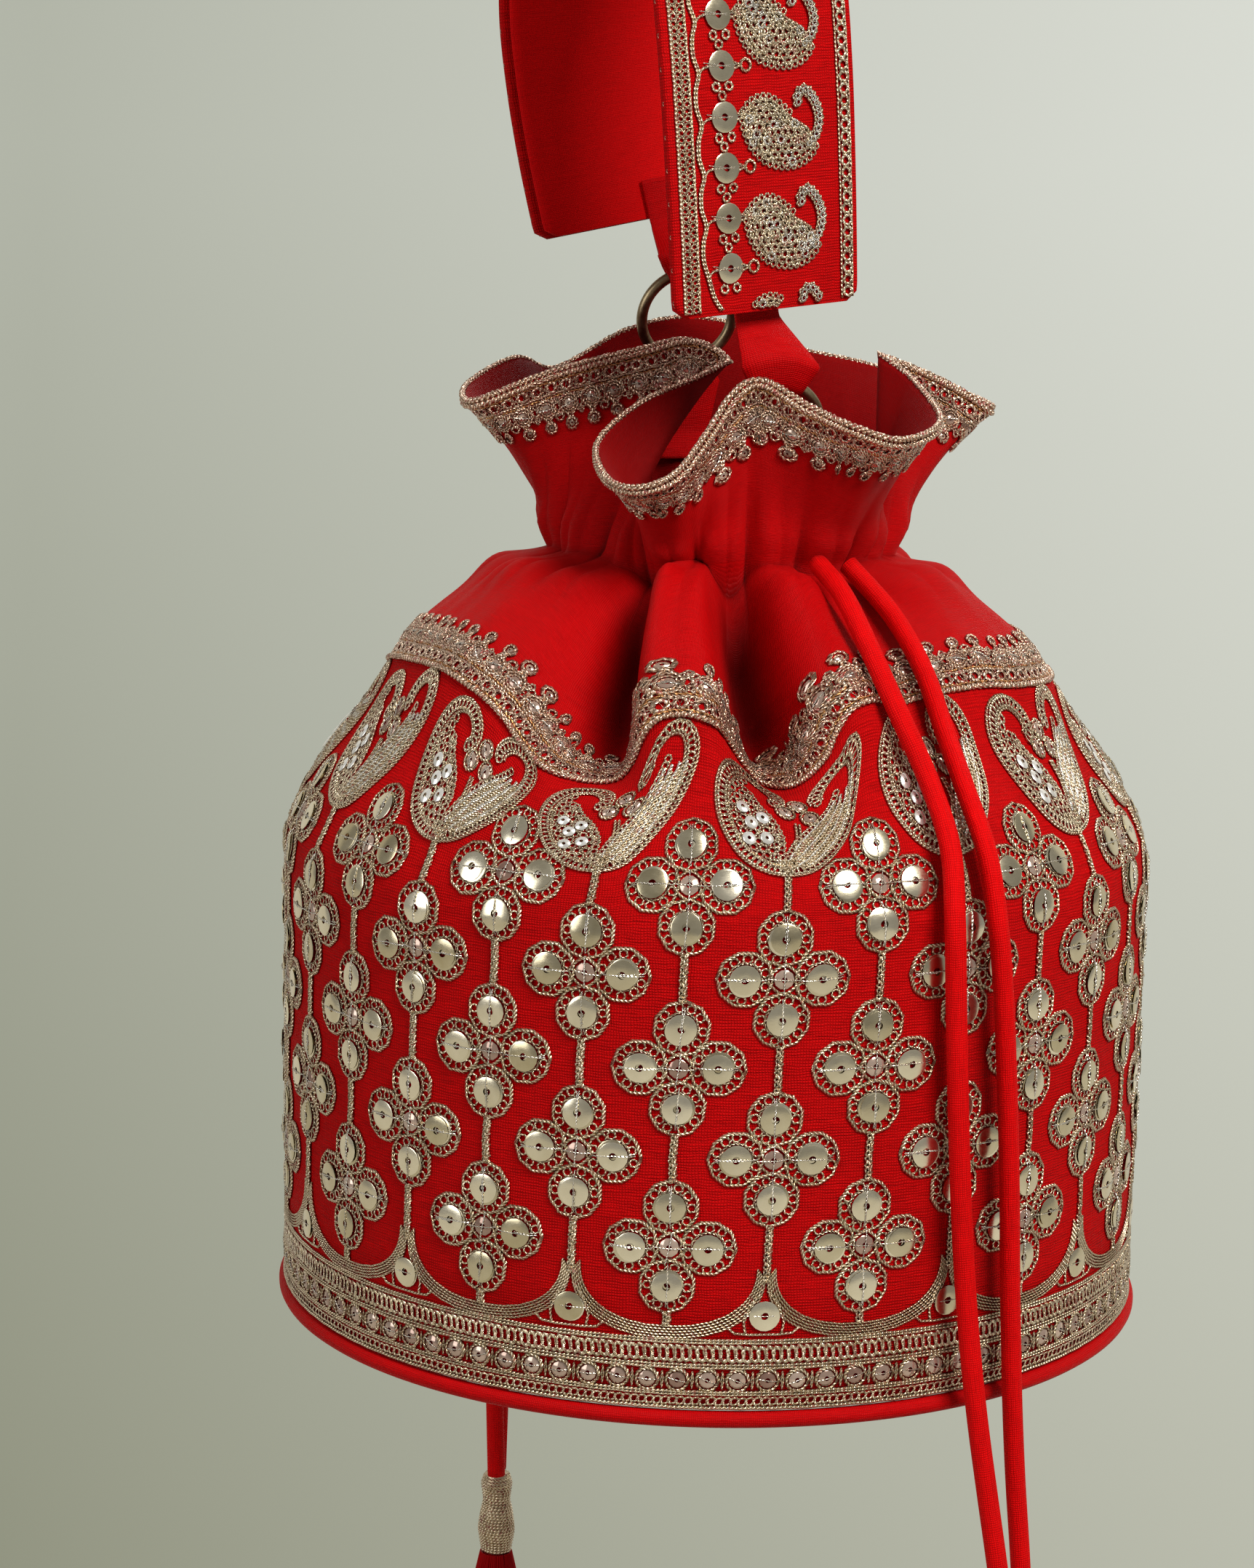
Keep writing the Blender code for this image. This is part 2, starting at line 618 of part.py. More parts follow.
def strap_frame():
    """The strap's middle line with its direction across and its outward direction at each point."""
    line = neck_point(through(STRAP_LINE, STRAP_STEPS))
    turn = np.radians(np.linspace(STRAP_TURN_NEAR, STRAP_TURN_FAR, STRAP_STEPS))
    along = unit(np.gradient(line, axis=0))
    across = np.column_stack([np.cos(turn), np.sin(turn), np.zeros(STRAP_STEPS)])
    across = unit(across - along * np.sum(across * along, axis=1, keepdims=True))
    return line, across, np.cross(across, along)


def strap_strip(name, inner, outer, left, right, finish, ridged=False):
    """A strip along the strap, between two heights over its middle line and two places across it."""
    line, across, out = strap_frame()
    corners = [(left, inner), (right, inner), (right, outer), (left, outer)]
    if ridged:
        corners = [(left, inner), (right, inner), ((left + right) / 2, outer)]
    sections = [[at + side * w + away * h for w, h in corners] for at, side, away in zip(line, across, out)]
    return loft(sections, name, finish)


def strap():
    """The strap's band, its lining and the braids along both edges of its face."""
    half = STRAP_WIDTH / 2
    face = STRAP_THICKNESS / 2
    strap_strip("strap_band", -face, face, -half, half, SILK_PANEL)
    back = -face - LINING_GAP
    inset = half - LINING_INSET
    strap_strip("strap_lining", back - LINING_THICKNESS, back, -inset, inset, SILK_PLAIN)
    front = face + SEAM_GAP
    edge = half - BRAID_INSET
    strap_strip("strap_braid_left", front, front + BRAID_RELIEF, -edge, BRAID_WIDTH - edge, ZARI, True)
    strap_strip("strap_braid_right", front, front + BRAID_RELIEF, edge - BRAID_WIDTH, edge, ZARI, True)


def tab_seat(angle, share):
    """The middle of a tab sewn inside the ruffle, clear of the pleats that it spans."""
    spread = math.degrees(TAB_WIDTH / 2 / NECK_RADIUS)
    wall = ruffle(angle + np.linspace(-spread, spread, 7), share)
    radial = np.array((math.sin(math.radians(angle)), -math.cos(math.radians(angle)), 0))
    depth = min(wall @ radial) - YOKE_THICKNESS - TAB_SEAT_GAP - TAB_THICKNESS / 2
    return radial * depth + (0, 0, wall[3][2])


def rings_and_tabs():
    """Both rings, the strap's tabs that hang on them and the bag's tabs that hang from them."""
    line, across, out = strap_frame()
    behind = STRAP_THICKNESS / 2 + LINING_GAP + LINING_THICKNESS + SEAM_GAP + TAB_THICKNESS / 2
    for name, centre, end, shift, seat in (("near", NEAR_RING, 0, NEAR_TAB_SHIFT, NEAR_TAB_SEAT),
                                           ("far", FAR_RING, -1, FAR_TAB_SHIFT, FAR_TAB_SEAT)):
        middle = neck_point(centre)
        ring(f"ring_{name}", middle)
        inward = 1 if end == 0 else -1
        foot = line[end] - out[end] * behind + across[end] * shift
        up = unit(line[inward] - line[0] if end == 0 else line[-2] - line[-1])
        tail = [foot - up * TAB_HANG, foot + up * TAB_OVERLAP]
        tab(f"strap_tab_{name}", ring_loop(middle, 1, tail, across[end]))
        angle, *shares = seat
        radial = np.array((math.sin(math.radians(angle)), -math.cos(math.radians(angle)), 0))
        sideways = np.array((-radial[1], radial[0], 0)) * inward
        tab(f"ring_tab_{name}", ring_loop(middle, -1, [tab_seat(angle, s) for s in shares], sideways))


def cord(name, route):
    """A free drawstring along its route."""
    curve = bpy.data.curves.new(name, "CURVE")
    curve.dimensions = "3D"
    curve.bevel_depth = CORD_DIAMETER / 2
    curve.bevel_resolution = 2
    curve.use_fill_caps = True
    points = through(route, CORD_STEPS) * MM
    spline = curve.splines.new("POLY")
    spline.points.add(len(points) - 1)
    for at, point in zip(spline.points, points):
        at.co = (*point, 1)
    made = bpy.data.objects.new(name, curve)
    curve.materials.append(SILK_PLAIN)
    PARTS.objects.link(made)
    made.parent = BAG_PLACE


def drawstrings():
    """Both drawstrings: the part of each inside the neck, and two free strands with one tassel."""
    radius = NECK_RADIUS - PLEAT_DEPTH - YOKE_THICKNESS - CORD_DIAMETER / 2 - 2 * SEAM_GAP
    half = CORD_DIAMETER / 2
    section = [(radius + half * math.cos(a), half * math.sin(a)) for a in np.radians(np.arange(0, 360, 60))]
    turned("drawcord_in_neck", section, 24, SILK_PLAIN, (0, 0, NECK_HEIGHT))
    for side, routes in (("right", (CORD_RIGHT_A, CORD_RIGHT_B)), ("left", (CORD_LEFT_A, CORD_LEFT_B))):
        for letter, route in zip("ab", routes):
            cord(f"drawstring_{side}_{letter}", route)
        end = np.mean([route[-1] for route in routes], axis=0) * MM - (0, 0, SEAM_GAP)
        cap = ((0, 0), (0.75, 0), (0.95, -0.12), (0.8, -0.34), (1.0, -0.5), (1.15, -0.72), (0.9, -1.0), (0, -1.0))
        outline = [(r * CAP_RADIUS, z * CAP_LENGTH) for r, z in cap]
        turned(f"tassel_cap_{side}", outline[::-1], 10, ZARI, end)
        top = -CAP_LENGTH - SEAM_GAP
        skirt = ((0, 0), (0.55, 0), (0.8, -0.2), (0.95, -0.6), (1.0, -1.0), (0, -1.0))
        outline = [(r * SKIRT_RADIUS, top + z * SKIRT_LENGTH) for r, z in skirt]
        turned(f"tassel_skirt_{side}", outline[::-1], 12, SILK_PLAIN, end)


PARTS = bpy.data.collections.new(COLLECTION)
bpy.context.scene.collection.children.link(PARTS)
STRAP_TOP = strap_frame()[0][np.argmax(strap_frame()[0][:, 2])]
BAG_PLACE = bpy.data.objects.new("bag_place", None)
BAG_PLACE.location = -Vector(STRAP_TOP) - Vector((0, 0, STRAP_THICKNESS / 2))
PARTS.objects.link(BAG_PLACE)

SILK_PANEL = material("raw_silk_red", (0.55, 0.004, 0.006), 0.75)
SILK_PLAIN = material("silk_red", (0.48, 0.004, 0.006), 0.5)
ZARI = material("gold_thread", (0.62, 0.47, 0.26), 0.4, 0.7)
LACE = material("rose_gold_thread", (0.6, 0.38, 0.26), 0.4, 0.7)
BRASS = material("antique_brass", (0.35, 0.24, 0.12), 0.35, 1.0)
BOARD = material("stiffener_board", (0.42, 0.33, 0.22), 0.85)

body_panel()
yoke()
base_pieces()
embroidery()
laces()
strap()
rings_and_tabs()
drawstrings()
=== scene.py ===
"""Potli bag of red raw silk: how its cloth, thread work, cords and metal look around the CAD solids."""
import logging
import math
from dataclasses import dataclass
from enum import Enum
from typing import Any, Callable, Optional, Sequence, Union

import bmesh
import bpy
import numpy as np
from mathutils import Matrix, Vector


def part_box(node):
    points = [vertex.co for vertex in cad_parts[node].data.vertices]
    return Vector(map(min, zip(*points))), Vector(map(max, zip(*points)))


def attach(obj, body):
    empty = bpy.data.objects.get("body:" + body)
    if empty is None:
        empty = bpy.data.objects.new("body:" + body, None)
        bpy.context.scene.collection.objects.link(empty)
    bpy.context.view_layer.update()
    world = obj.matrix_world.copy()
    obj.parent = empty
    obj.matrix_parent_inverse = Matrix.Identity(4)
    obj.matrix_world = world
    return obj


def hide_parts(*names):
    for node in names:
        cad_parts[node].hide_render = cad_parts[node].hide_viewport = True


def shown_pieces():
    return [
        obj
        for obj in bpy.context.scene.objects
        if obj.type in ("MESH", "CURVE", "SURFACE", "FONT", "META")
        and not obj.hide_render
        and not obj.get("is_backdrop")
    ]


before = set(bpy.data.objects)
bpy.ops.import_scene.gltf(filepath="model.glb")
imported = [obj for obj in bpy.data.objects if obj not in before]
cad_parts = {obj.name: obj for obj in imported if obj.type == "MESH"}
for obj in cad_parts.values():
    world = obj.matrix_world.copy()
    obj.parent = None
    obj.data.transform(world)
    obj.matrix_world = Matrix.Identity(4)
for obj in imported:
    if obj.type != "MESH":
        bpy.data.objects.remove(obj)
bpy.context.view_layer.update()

MM = 0.001
LOG = logging.getLogger("potli")
Colour = tuple[float, float, float]
Points = np.ndarray
Piece = bpy.types.Object
Kit = dict[str, Piece]
Draws = np.random.Generator
Value = Union[float, int, tuple, "Signal"]
_base_low, _base_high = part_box("base_panel")
BAG_PLACE = np.array(((_base_low.x + _base_high.x) / 2, (_base_low.y + _base_high.y) / 2, _base_low.z))


class Body(Enum):
    """The CAD bodies that pieces ride on."""

    STRAP = "strap"
    BAG = "bag"
    RING_NEAR = "ring_near"
    RING_FAR = "ring_far"


# Node trees


def both_ways(operation: str) -> tuple[Callable, Callable]:
    """An operator of Signal: the methods with the signal first and with the signal second."""
    def forward(self: "Signal", other: Value) -> "Signal":
        """The signal, then the other value."""
        return self.maths(operation, other)

    def backward(self: "Signal", other: Value) -> "Signal":
        """The other value, then the signal."""
        return self.maths(operation, other, first=False)

    return forward, backward


class Signal:
    """One output socket; Python's operators on it add Math nodes."""

    def __init__(self, net: "Net", out: bpy.types.NodeSocket) -> None:
        """Keeps the socket and the tree that it is in."""
        self.net = net
        self.out = out

    def maths(self, operation: str, *others: Value, clamp: bool = False, first: bool = True) -> "Signal":
        """Adds a Math node.

        Args:
            operation: The Math node's operation.
            others: The node's other values.
            clamp: Whether the result is kept from 0 to 1.
            first: Whether this signal is the node's first value, or its second.

        Returns:
            The node's result.
        """
        values = [self, *others] if first else [*others, self]
        made = self.net.node("ShaderNodeMath", {"operation": operation, "use_clamp": clamp},
                             dict(enumerate(values)))
        return Signal(self.net, made.outputs[0])

    __add__, __radd__ = both_ways("ADD")
    __sub__, __rsub__ = both_ways("SUBTRACT")
    __mul__, __rmul__ = both_ways("MULTIPLY")
    __truediv__, __rtruediv__ = both_ways("DIVIDE")
    __pow__, __rpow__ = both_ways("POWER")

    def wave(self) -> "Signal":
        """The sine of the signal in turns, as 0 to 1."""
        return (self * (2 * math.pi)).maths("SINE") * 0.5 + 0.5

    def step(self, low: float, high: float) -> "Signal":
        """0 below low, 1 above high and a ramp between them."""
        return ((self - low) / (high - low)).maths("ADD", 0.0, clamp=True)


class Net:
    """A node tree that is being written."""

    def __init__(self, tree: bpy.types.NodeTree) -> None:
        """Keeps the tree."""
        self.tree = tree

    def node(self, kind: str, settings: Optional[dict[str, Any]] = None,
             sockets: Optional[dict[Union[str, int], Value]] = None) -> bpy.types.Node:
        """Adds a node.

        Args:
            kind: The node's type.
            settings: Its settings, which are set first. "stops" are a ramp's places and colours.
            sockets: Values or signals by the input's identifier, name or number.

        Returns:
            The node.
        """
        made = self.tree.nodes.new(kind)
        for name, value in (settings or {}).items():
            if name == "stops":
                ramp = made.color_ramp
                while len(ramp.elements) < len(value):
                    ramp.elements.new(0.5)
                for element, (place, colour) in zip(ramp.elements, value):
                    element.position = place
                    element.color = (*colour, 1.0)
            else:
                setattr(made, name, value)
        by_identifier = {socket.identifier: socket for socket in made.inputs}
        for name, value in (sockets or {}).items():
            target = by_identifier.get(name) or made.inputs[name]
            if isinstance(value, Signal):
                self.tree.links.new(value.out, target)
            elif target.type == "RGBA" and len(value) == 3:
                target.default_value = (*value, 1.0)
            else:
                target.default_value = value
        return made

    def get(self, kind: str, settings: Optional[dict[str, Any]] = None,
            sockets: Optional[dict[Union[str, int], Value]] = None, out: Union[str, int] = 0) -> Signal:
        """Adds a node and returns one of its outputs, by number, identifier or name."""
        made = self.node(kind, settings, sockets)
        by_identifier = {socket.identifier: socket for socket in made.outputs}
        return Signal(self, by_identifier.get(out) or made.outputs[out])

    def mix(self, share: Value, low: Value, high: Value) -> Signal:
        """A colour between two."""
        return self.get("ShaderNodeMix", {"data_type": "RGBA"},
                        {"Factor_Float": share, "A_Color": low, "B_Color": high}, "Result_Color")


class Surface(Net):
    """A material with one Principled shader and the nodes that feed it."""

    def __init__(self, name: str, colour: Colour, roughness: float, **constants: Any) -> None:
        """Makes the material.

        Args:
            name: Its name.
            colour: Base colour, linear.
            roughness: Roughness.
            constants: Other values of the shader's sockets, with _ for the spaces in their names.
        """
        self.material = bpy.data.materials.new(name)
        self.material.use_nodes = True
        super().__init__(self.material.node_tree)
        self.shader = self.tree.nodes["Principled BSDF"]
        self.feed("Base Color", (*colour, 1.0))
        self.feed("Roughness", roughness)
        for key, value in constants.items():
            self.feed(key.replace("_", " "), value)

    def feed(self, socket: str, value: Value) -> None:
        """Sets or links one of the shader's sockets."""
        if isinstance(value, Signal):
            self.tree.links.new(value.out, self.shader.inputs[socket])
        else:
            self.shader.inputs[socket].default_value = value

    def place(self) -> Signal:
        """The Object coordinates."""
        return self.get("ShaderNodeTexCoord", out="Object")

    def pattern(self) -> Signal:
        """The piece's own UV map, in mm along and up its cloth."""
        return self.get("ShaderNodeUVMap", {"uv_map": "cloth"})

    def attribute(self, name: str) -> Signal:
        """A number that the mesh carries."""
        return self.get("ShaderNodeAttribute", {"attribute_name": name}, out="Fac")

    def scaled(self, vector: Signal, scale: tuple[float, float, float]) -> Signal:
        """A vector times one number an axis."""
        return self.get("ShaderNodeVectorMath", {"operation": "MULTIPLY"}, {0: vector, 1: scale})

    def noise(self, vector: Signal, scale: float, detail: float = 3.0, rough: float = 0.55) -> Signal:
        """Noise from 0 to 1 at a number of spots per unit."""
        return self.get("ShaderNodeTexNoise", None,
                        {"Vector": vector, "Scale": scale, "Detail": detail, "Roughness": rough}, "Fac")

    def relief(self, height: Signal, distance: float, strength: float = 1.0) -> None:
        """A Bump node on the shader's Normal."""
        self.feed("Normal", self.get("ShaderNodeBump", None,
                                     {"Height": height, "Distance": distance, "Strength": strength}))


# Finishes


@dataclass(frozen=True)
class Silk:
    """Plain-woven silk. The raw kind has slubs in its weft."""

    name: str
    lit: Colour
    deep: Colour
    roughness: float
    thread_mm: float
    slub: float
    relief_mm: float
    sheen: float

    def make(self) -> bpy.types.Material:
        """The material, with its weave on the piece's UV map in mm."""
        s = Surface(self.name, self.lit, self.roughness, Specular_IOR_Level=0.06,
                    Sheen_Weight=self.sheen, Sheen_Roughness=0.4, Sheen_Tint=(1.0, 0.03, 0.03, 1.0))
        uv = s.pattern()
        parts = s.node("ShaderNodeSeparateXYZ", None, {0: uv})
        across, up = (Signal(s, parts.outputs[k]) for k in (0, 1))
        wobble = s.noise(s.scaled(uv, (0.35, 0.35, 1.0)), 1.0, 2.0) - 0.5
        warp = (across / self.thread_mm + wobble * 1.4).wave()
        weft = (up / self.thread_mm + wobble * 1.4).wave()
        slubs = s.noise(s.scaled(uv, (0.16, 2.6, 1.0)), 1.0, 4.0, 0.6)
        ends = s.noise(s.scaled(uv, (3.0, 0.5, 1.0)), 1.0, 2.0)
        clouds = s.noise(s.place(), 22.0, 3.0)
        weave = (warp * weft).maths("POWER", 0.5) + (slubs - 0.5) * (2.2 * self.slub) + (ends - 0.5) * 0.4
        shade = (weave * 0.5 + clouds * 0.3 + 0.1 + (slubs - 0.5) * self.slub * 1.4).step(0.1, 0.9)
        hollow = s.attribute("hollow")
        # Painted shade: the colour goes towards a near-black red deep in folds and pleat creases, at the neck and
        # on the cloth's inner face.
        s.feed("Base Color", s.mix(hollow, s.mix(shade, self.deep, self.lit), (*(0.12 * c for c in self.deep),)))
        s.feed("Roughness", self.roughness + (slubs - 0.5) * 0.25)
        s.relief(weave + s.noise(s.place(), 70.0, 3.0) * 6, self.relief_mm * MM, 1.0)
        return s.material


@dataclass(frozen=True)
class MetalThread:
    """Thread wrapped in flat metal wire. Its twist follows the attributes that a thread's mesh carries."""

    name: str
    bright: Colour
    # Dark metal, used for random wear and for the painted shade in the twist's grooves.
    worn: Colour
    roughness: float
    pitch_mm: float
    core: Colour
    core_share: float = 0.1

    def make(self) -> bpy.types.Material:
        """The material: random wear, and painted shade and highlight along its wire's twist."""
        s = Surface(self.name, self.bright, self.roughness, Metallic=0.8)
        along = s.attribute("along")
        side = s.attribute("side")
        pick = s.attribute("rand")
        twist = (along / self.pitch_mm + side).wave()
        place = s.place()
        fine = s.noise(place, 1500.0, 3.0, 0.75)
        broad = s.noise(place, 90.0, 3.0)
        # Painted shade and highlight: the twist darkens the colour in the grooves between the wire's turns and
        # lightens it on their crowns; the noise in it is random wear.
        wear_and_twist_shade = (fine * 0.65 + broad * 0.3 + pick * 0.2 + twist * 0.5 - 0.42).step(0.1, 0.65)
        metal = s.mix(wear_and_twist_shade, self.worn, self.bright)
        bare = (s.noise(place, 700.0, 2.0) + (1 - twist) * 0.12).step(0.66, 0.72) * self.core_share * 8
        s.feed("Base Color", s.mix(bare.maths("MINIMUM", 0.85), metal, self.core))
        s.feed("Metallic", 0.85 - bare.maths("MINIMUM", 0.8))
        s.feed("Roughness", self.roughness + (fine - 0.5) * 0.25)
        s.relief(twist + fine * 0.5, 0.2 * MM, 1.0)
        return s.material


@dataclass(frozen=True)
class Sequin:
    """A flat metallised or clear disc."""

    name: str
    colour: Colour
    shadow: Colour
    roughness: float
    metallic: float
    coat: float = 0.0

    def make(self) -> bpy.types.Material:
        """The material, brushed in rings too fine to tell apart."""
        s = Surface(self.name, self.colour, self.roughness, Metallic=self.metallic, Coat_Weight=self.coat,
                    Coat_Roughness=0.12)
        pick = s.attribute("rand")
        place = s.place()
        haze = s.noise(place, 260.0, 3.0)
        scratch = s.noise(s.scaled(place, (1.0, 1.0, 6.0)), 900.0, 2.0, 0.7)
        s.feed("Base Color", s.mix((pick * 0.75 + haze * 0.5 - 0.1).step(0.0, 1.0), self.shadow, self.colour))
        s.feed("Roughness", self.roughness + (scratch - 0.5) * 0.16 + (haze - 0.5) * 0.12)
        s.relief(scratch * 0.5 + haze, 0.02 * MM, 0.6)
        return s.material


@dataclass(frozen=True)
class AgedBrass:
    """Brass that has darkened, and is bright where it is rubbed."""

    name: str = "antique_brass"
    bright: Colour = (0.46, 0.37, 0.22)
    dark: Colour = (0.1, 0.055, 0.025)

    def make(self) -> bpy.types.Material:
        """The material."""
        s = Surface(self.name, self.bright, 0.3, Metallic=1.0)
        place = s.place()
        patina = s.noise(place, 160.0, 4.0, 0.65)
        pits = s.noise(place, 1400.0, 2.0)
        s.feed("Base Color", s.mix((patina * 1.1 + pits * 0.2 - 0.2).step(0.15, 0.75), self.dark, self.bright))
        s.feed("Roughness", 0.22 + patina * 0.28)
        s.relief(pits, 0.03 * MM, 0.5)
        return s.material


@dataclass(frozen=True)
class Board:
    """Grey-brown stiffener board."""

    name: str = "stiffener_board"
    colour: Colour = (0.42, 0.33, 0.22)
    fleck: Colour = (0.24, 0.17, 0.1)

    def make(self) -> bpy.types.Material:
        """The material."""
        s = Surface(self.name, self.colour, 0.85)
        place = s.place()
        fibre = s.noise(s.scaled(place, (1.0, 3.0, 1.0)), 700.0, 4.0, 0.7)
        s.feed("Base Color", s.mix(fibre.step(0.3, 0.75), self.fleck, self.colour))
        s.relief(fibre, 0.08 * MM, 0.6)
        return s.material


RAW_SILK = Silk("raw_silk_red", (0.66, 0.0016, 0.0026), (0.3, 0.0004, 0.0007), 0.7, 0.62, 0.55, 0.16, 0.1)
SMOOTH_SILK = Silk("silk_red", (0.64, 0.0014, 0.0028), (0.32, 0.0005, 0.001), 0.5, 0.42, 0.35, 0.09, 0.25)
CORD_SILK = Silk("silk_red_cord", (0.90, 0.0016, 0.0026), (0.42, 0.0005, 0.0008), 0.6, 0.5, 0.4, 0.1, 0.15)
# Painted light: the lining's red is painted much lighter than the other red silks, to make up for the shade that it
# lies in.
LINING_SILK_PAINTED_LIGHT = Silk("silk_red_lining_painted_light", (0.86, 0.003, 0.004), (0.5, 0.001, 0.0015), 0.6, 0.4, 0.35, 0.07, 0.2)
GOLD = MetalThread("gold_thread", (1.0, 0.86, 0.63), (0.3, 0.2, 0.1), 0.27, 0.95, (0.26, 0.05, 0.03))
SILVER = MetalThread("pale_thread", (1.0, 0.96, 0.88), (0.62, 0.56, 0.46), 0.2, 0.8, (0.5, 0.4, 0.3), 0.0)
ROSE = MetalThread("rose_gold_thread", (1.0, 0.78, 0.6), (0.36, 0.2, 0.12), 0.27, 0.85, (0.3, 0.03, 0.03), 0.1)
ORANGE = MetalThread("orange_gold_thread", (0.95, 0.55, 0.24), (0.4, 0.16, 0.05), 0.3, 1.1, (0.3, 0.03, 0.02), 0.1)
PALE_SEQUIN = Sequin("sequin_pale_gold", (0.98, 0.9, 0.7), (0.5, 0.42, 0.24), 0.22, 1.0)
CLEAR_SEQUIN = Sequin("sequin_clear", (0.66, 0.5, 0.4), (0.26, 0.13, 0.09), 0.14, 0.6, 0.6)
WHITE_SEQUIN = Sequin("sequin_white", (0.97, 0.96, 0.92), (0.8, 0.77, 0.7), 0.25, 0.6, 0.3)
MAROON = MetalThread("maroon_net_thread", (0.62, 0.34, 0.24), (0.26, 0.05, 0.04), 0.45, 0.8, (0.16, 0.01, 0.01),
                     0.15)
TASSEL_SILK = Silk("tassel_silk_red", (0.5, 0.0012, 0.003), (0.16, 0.0003, 0.0006), 0.42, 0.9, 0.6, 0.05, 0.3)
FINISHES: dict[str, bpy.types.Material] = {}


def dressed(finish: Any) -> bpy.types.Material:
    """The material of a finish, made once."""
    if finish.name not in FINISHES:
        FINISHES[finish.name] = finish.make()
    return FINISHES[finish.name]


# Form


def run_along(points: Points) -> Points:
    """The length run at each of a line's points."""
    return np.concatenate([[0], np.cumsum(np.linalg.norm(np.diff(points, axis=0), axis=1))])


def sampled(at: Points, run: Points, values: Points) -> Points:
    """Rows of values, known at some runs, at others."""
    return np.column_stack([np.interp(at, run, column) for column in np.asarray(values).T])


def softened(points: Points, times: int) -> Points:
    """A line with its corners rounded off and its ends kept."""
    made = points.copy()
    for _ in range(times):
        made[1:-1] = (made[:-2] + 2 * made[1:-1] + made[2:]) / 4
    return made


def radial(angle: float) -> Points:
    """The direction out from the bag's axis at an angle in degrees."""
    return np.array((math.sin(math.radians(angle)), -math.cos(math.radians(angle)), 0))


def points_of(*columns: Union[float, Points]) -> Points:
    """Points from their columns. A number fills a whole column."""
    return np.column_stack(np.broadcast_arrays(*columns))


def about_axis(radius: Union[float, Points], wave: Points, height: Union[float, Points]) -> Points:
    """Points round the bag's axis. wave is an angle in radians, 0 in front and growing to the right."""
    return points_of(radius * np.sin(wave), -radius * np.cos(wave), height)


def periodic(table: Sequence, at: Points) -> Points:
    """Smooth values between the rows of a table that closes on itself after 360 degrees.

    Args:
        table: Rows of an angle and the values there.
        at: Angles to find values at.

    Returns:
        A row of values for each angle.
    """
    table, period = np.asarray(table, float), 360.0
    knots, values = table[:, 0], table[:, 1:]
    at = (np.atleast_1d(at) - knots[0]) % period + knots[0]
    wide = np.concatenate([knots[-2:] - period, knots, knots[:2] + period])
    tall = np.concatenate([values[-2:], values, values[:2]])
    slope = (tall[2:] - tall[:-2]) / (wide[2:] - wide[:-2])[:, None]
    wide = wide[1:-1]
    tall = tall[1:-1]
    low = np.clip(np.searchsorted(wide, at, side="right") - 1, 0, len(wide) - 2)
    span = wide[low + 1] - wide[low]
    t = ((at - wide[low]) / span)[:, None]
    return ((2 * t**3 - 3 * t**2 + 1) * tall[low] + (t**3 - 2 * t**2 + t) * span[:, None] * slope[low]
            + (3 * t**2 - 2 * t**3) * tall[low + 1] + (t**3 - t**2) * span[:, None] * slope[low + 1])


def through(points: Sequence, count: int) -> Points:
    """Evenly spaced points on a smooth open curve through the given ones."""
    points = np.asarray(points, float)
    ends = np.vstack([2 * points[0] - points[1], points, 2 * points[-1] - points[-2]])
    t = np.linspace(0, 1, 25)[:-1, None]
    pieces = []
    for a, b, c, d in zip(ends, ends[1:], ends[2:], ends[3:]):
        pieces.append(0.5 * (2 * b + (c - a) * t + (2 * a - 5 * b + 4 * c - d) * t**2
                             + (3 * b - a - 3 * c + d) * t**3))
    fine = np.vstack([*pieces, points[-1:]])
    run = run_along(fine)
    return sampled(np.linspace(0, run[-1], count), run, fine)


def smooth_step(low: float, high: float, value: Points) -> Points:
    """0 below low, 1 above high, and an S between them."""
    t = np.clip((value - low) / (high - low), 0, 1)
    return t * t * (3 - 2 * t)


def unit(vector: Points) -> Points:
    """The vector at length 1."""
    return vector / np.maximum(np.linalg.norm(vector, axis=-1, keepdims=True), 1e-12)


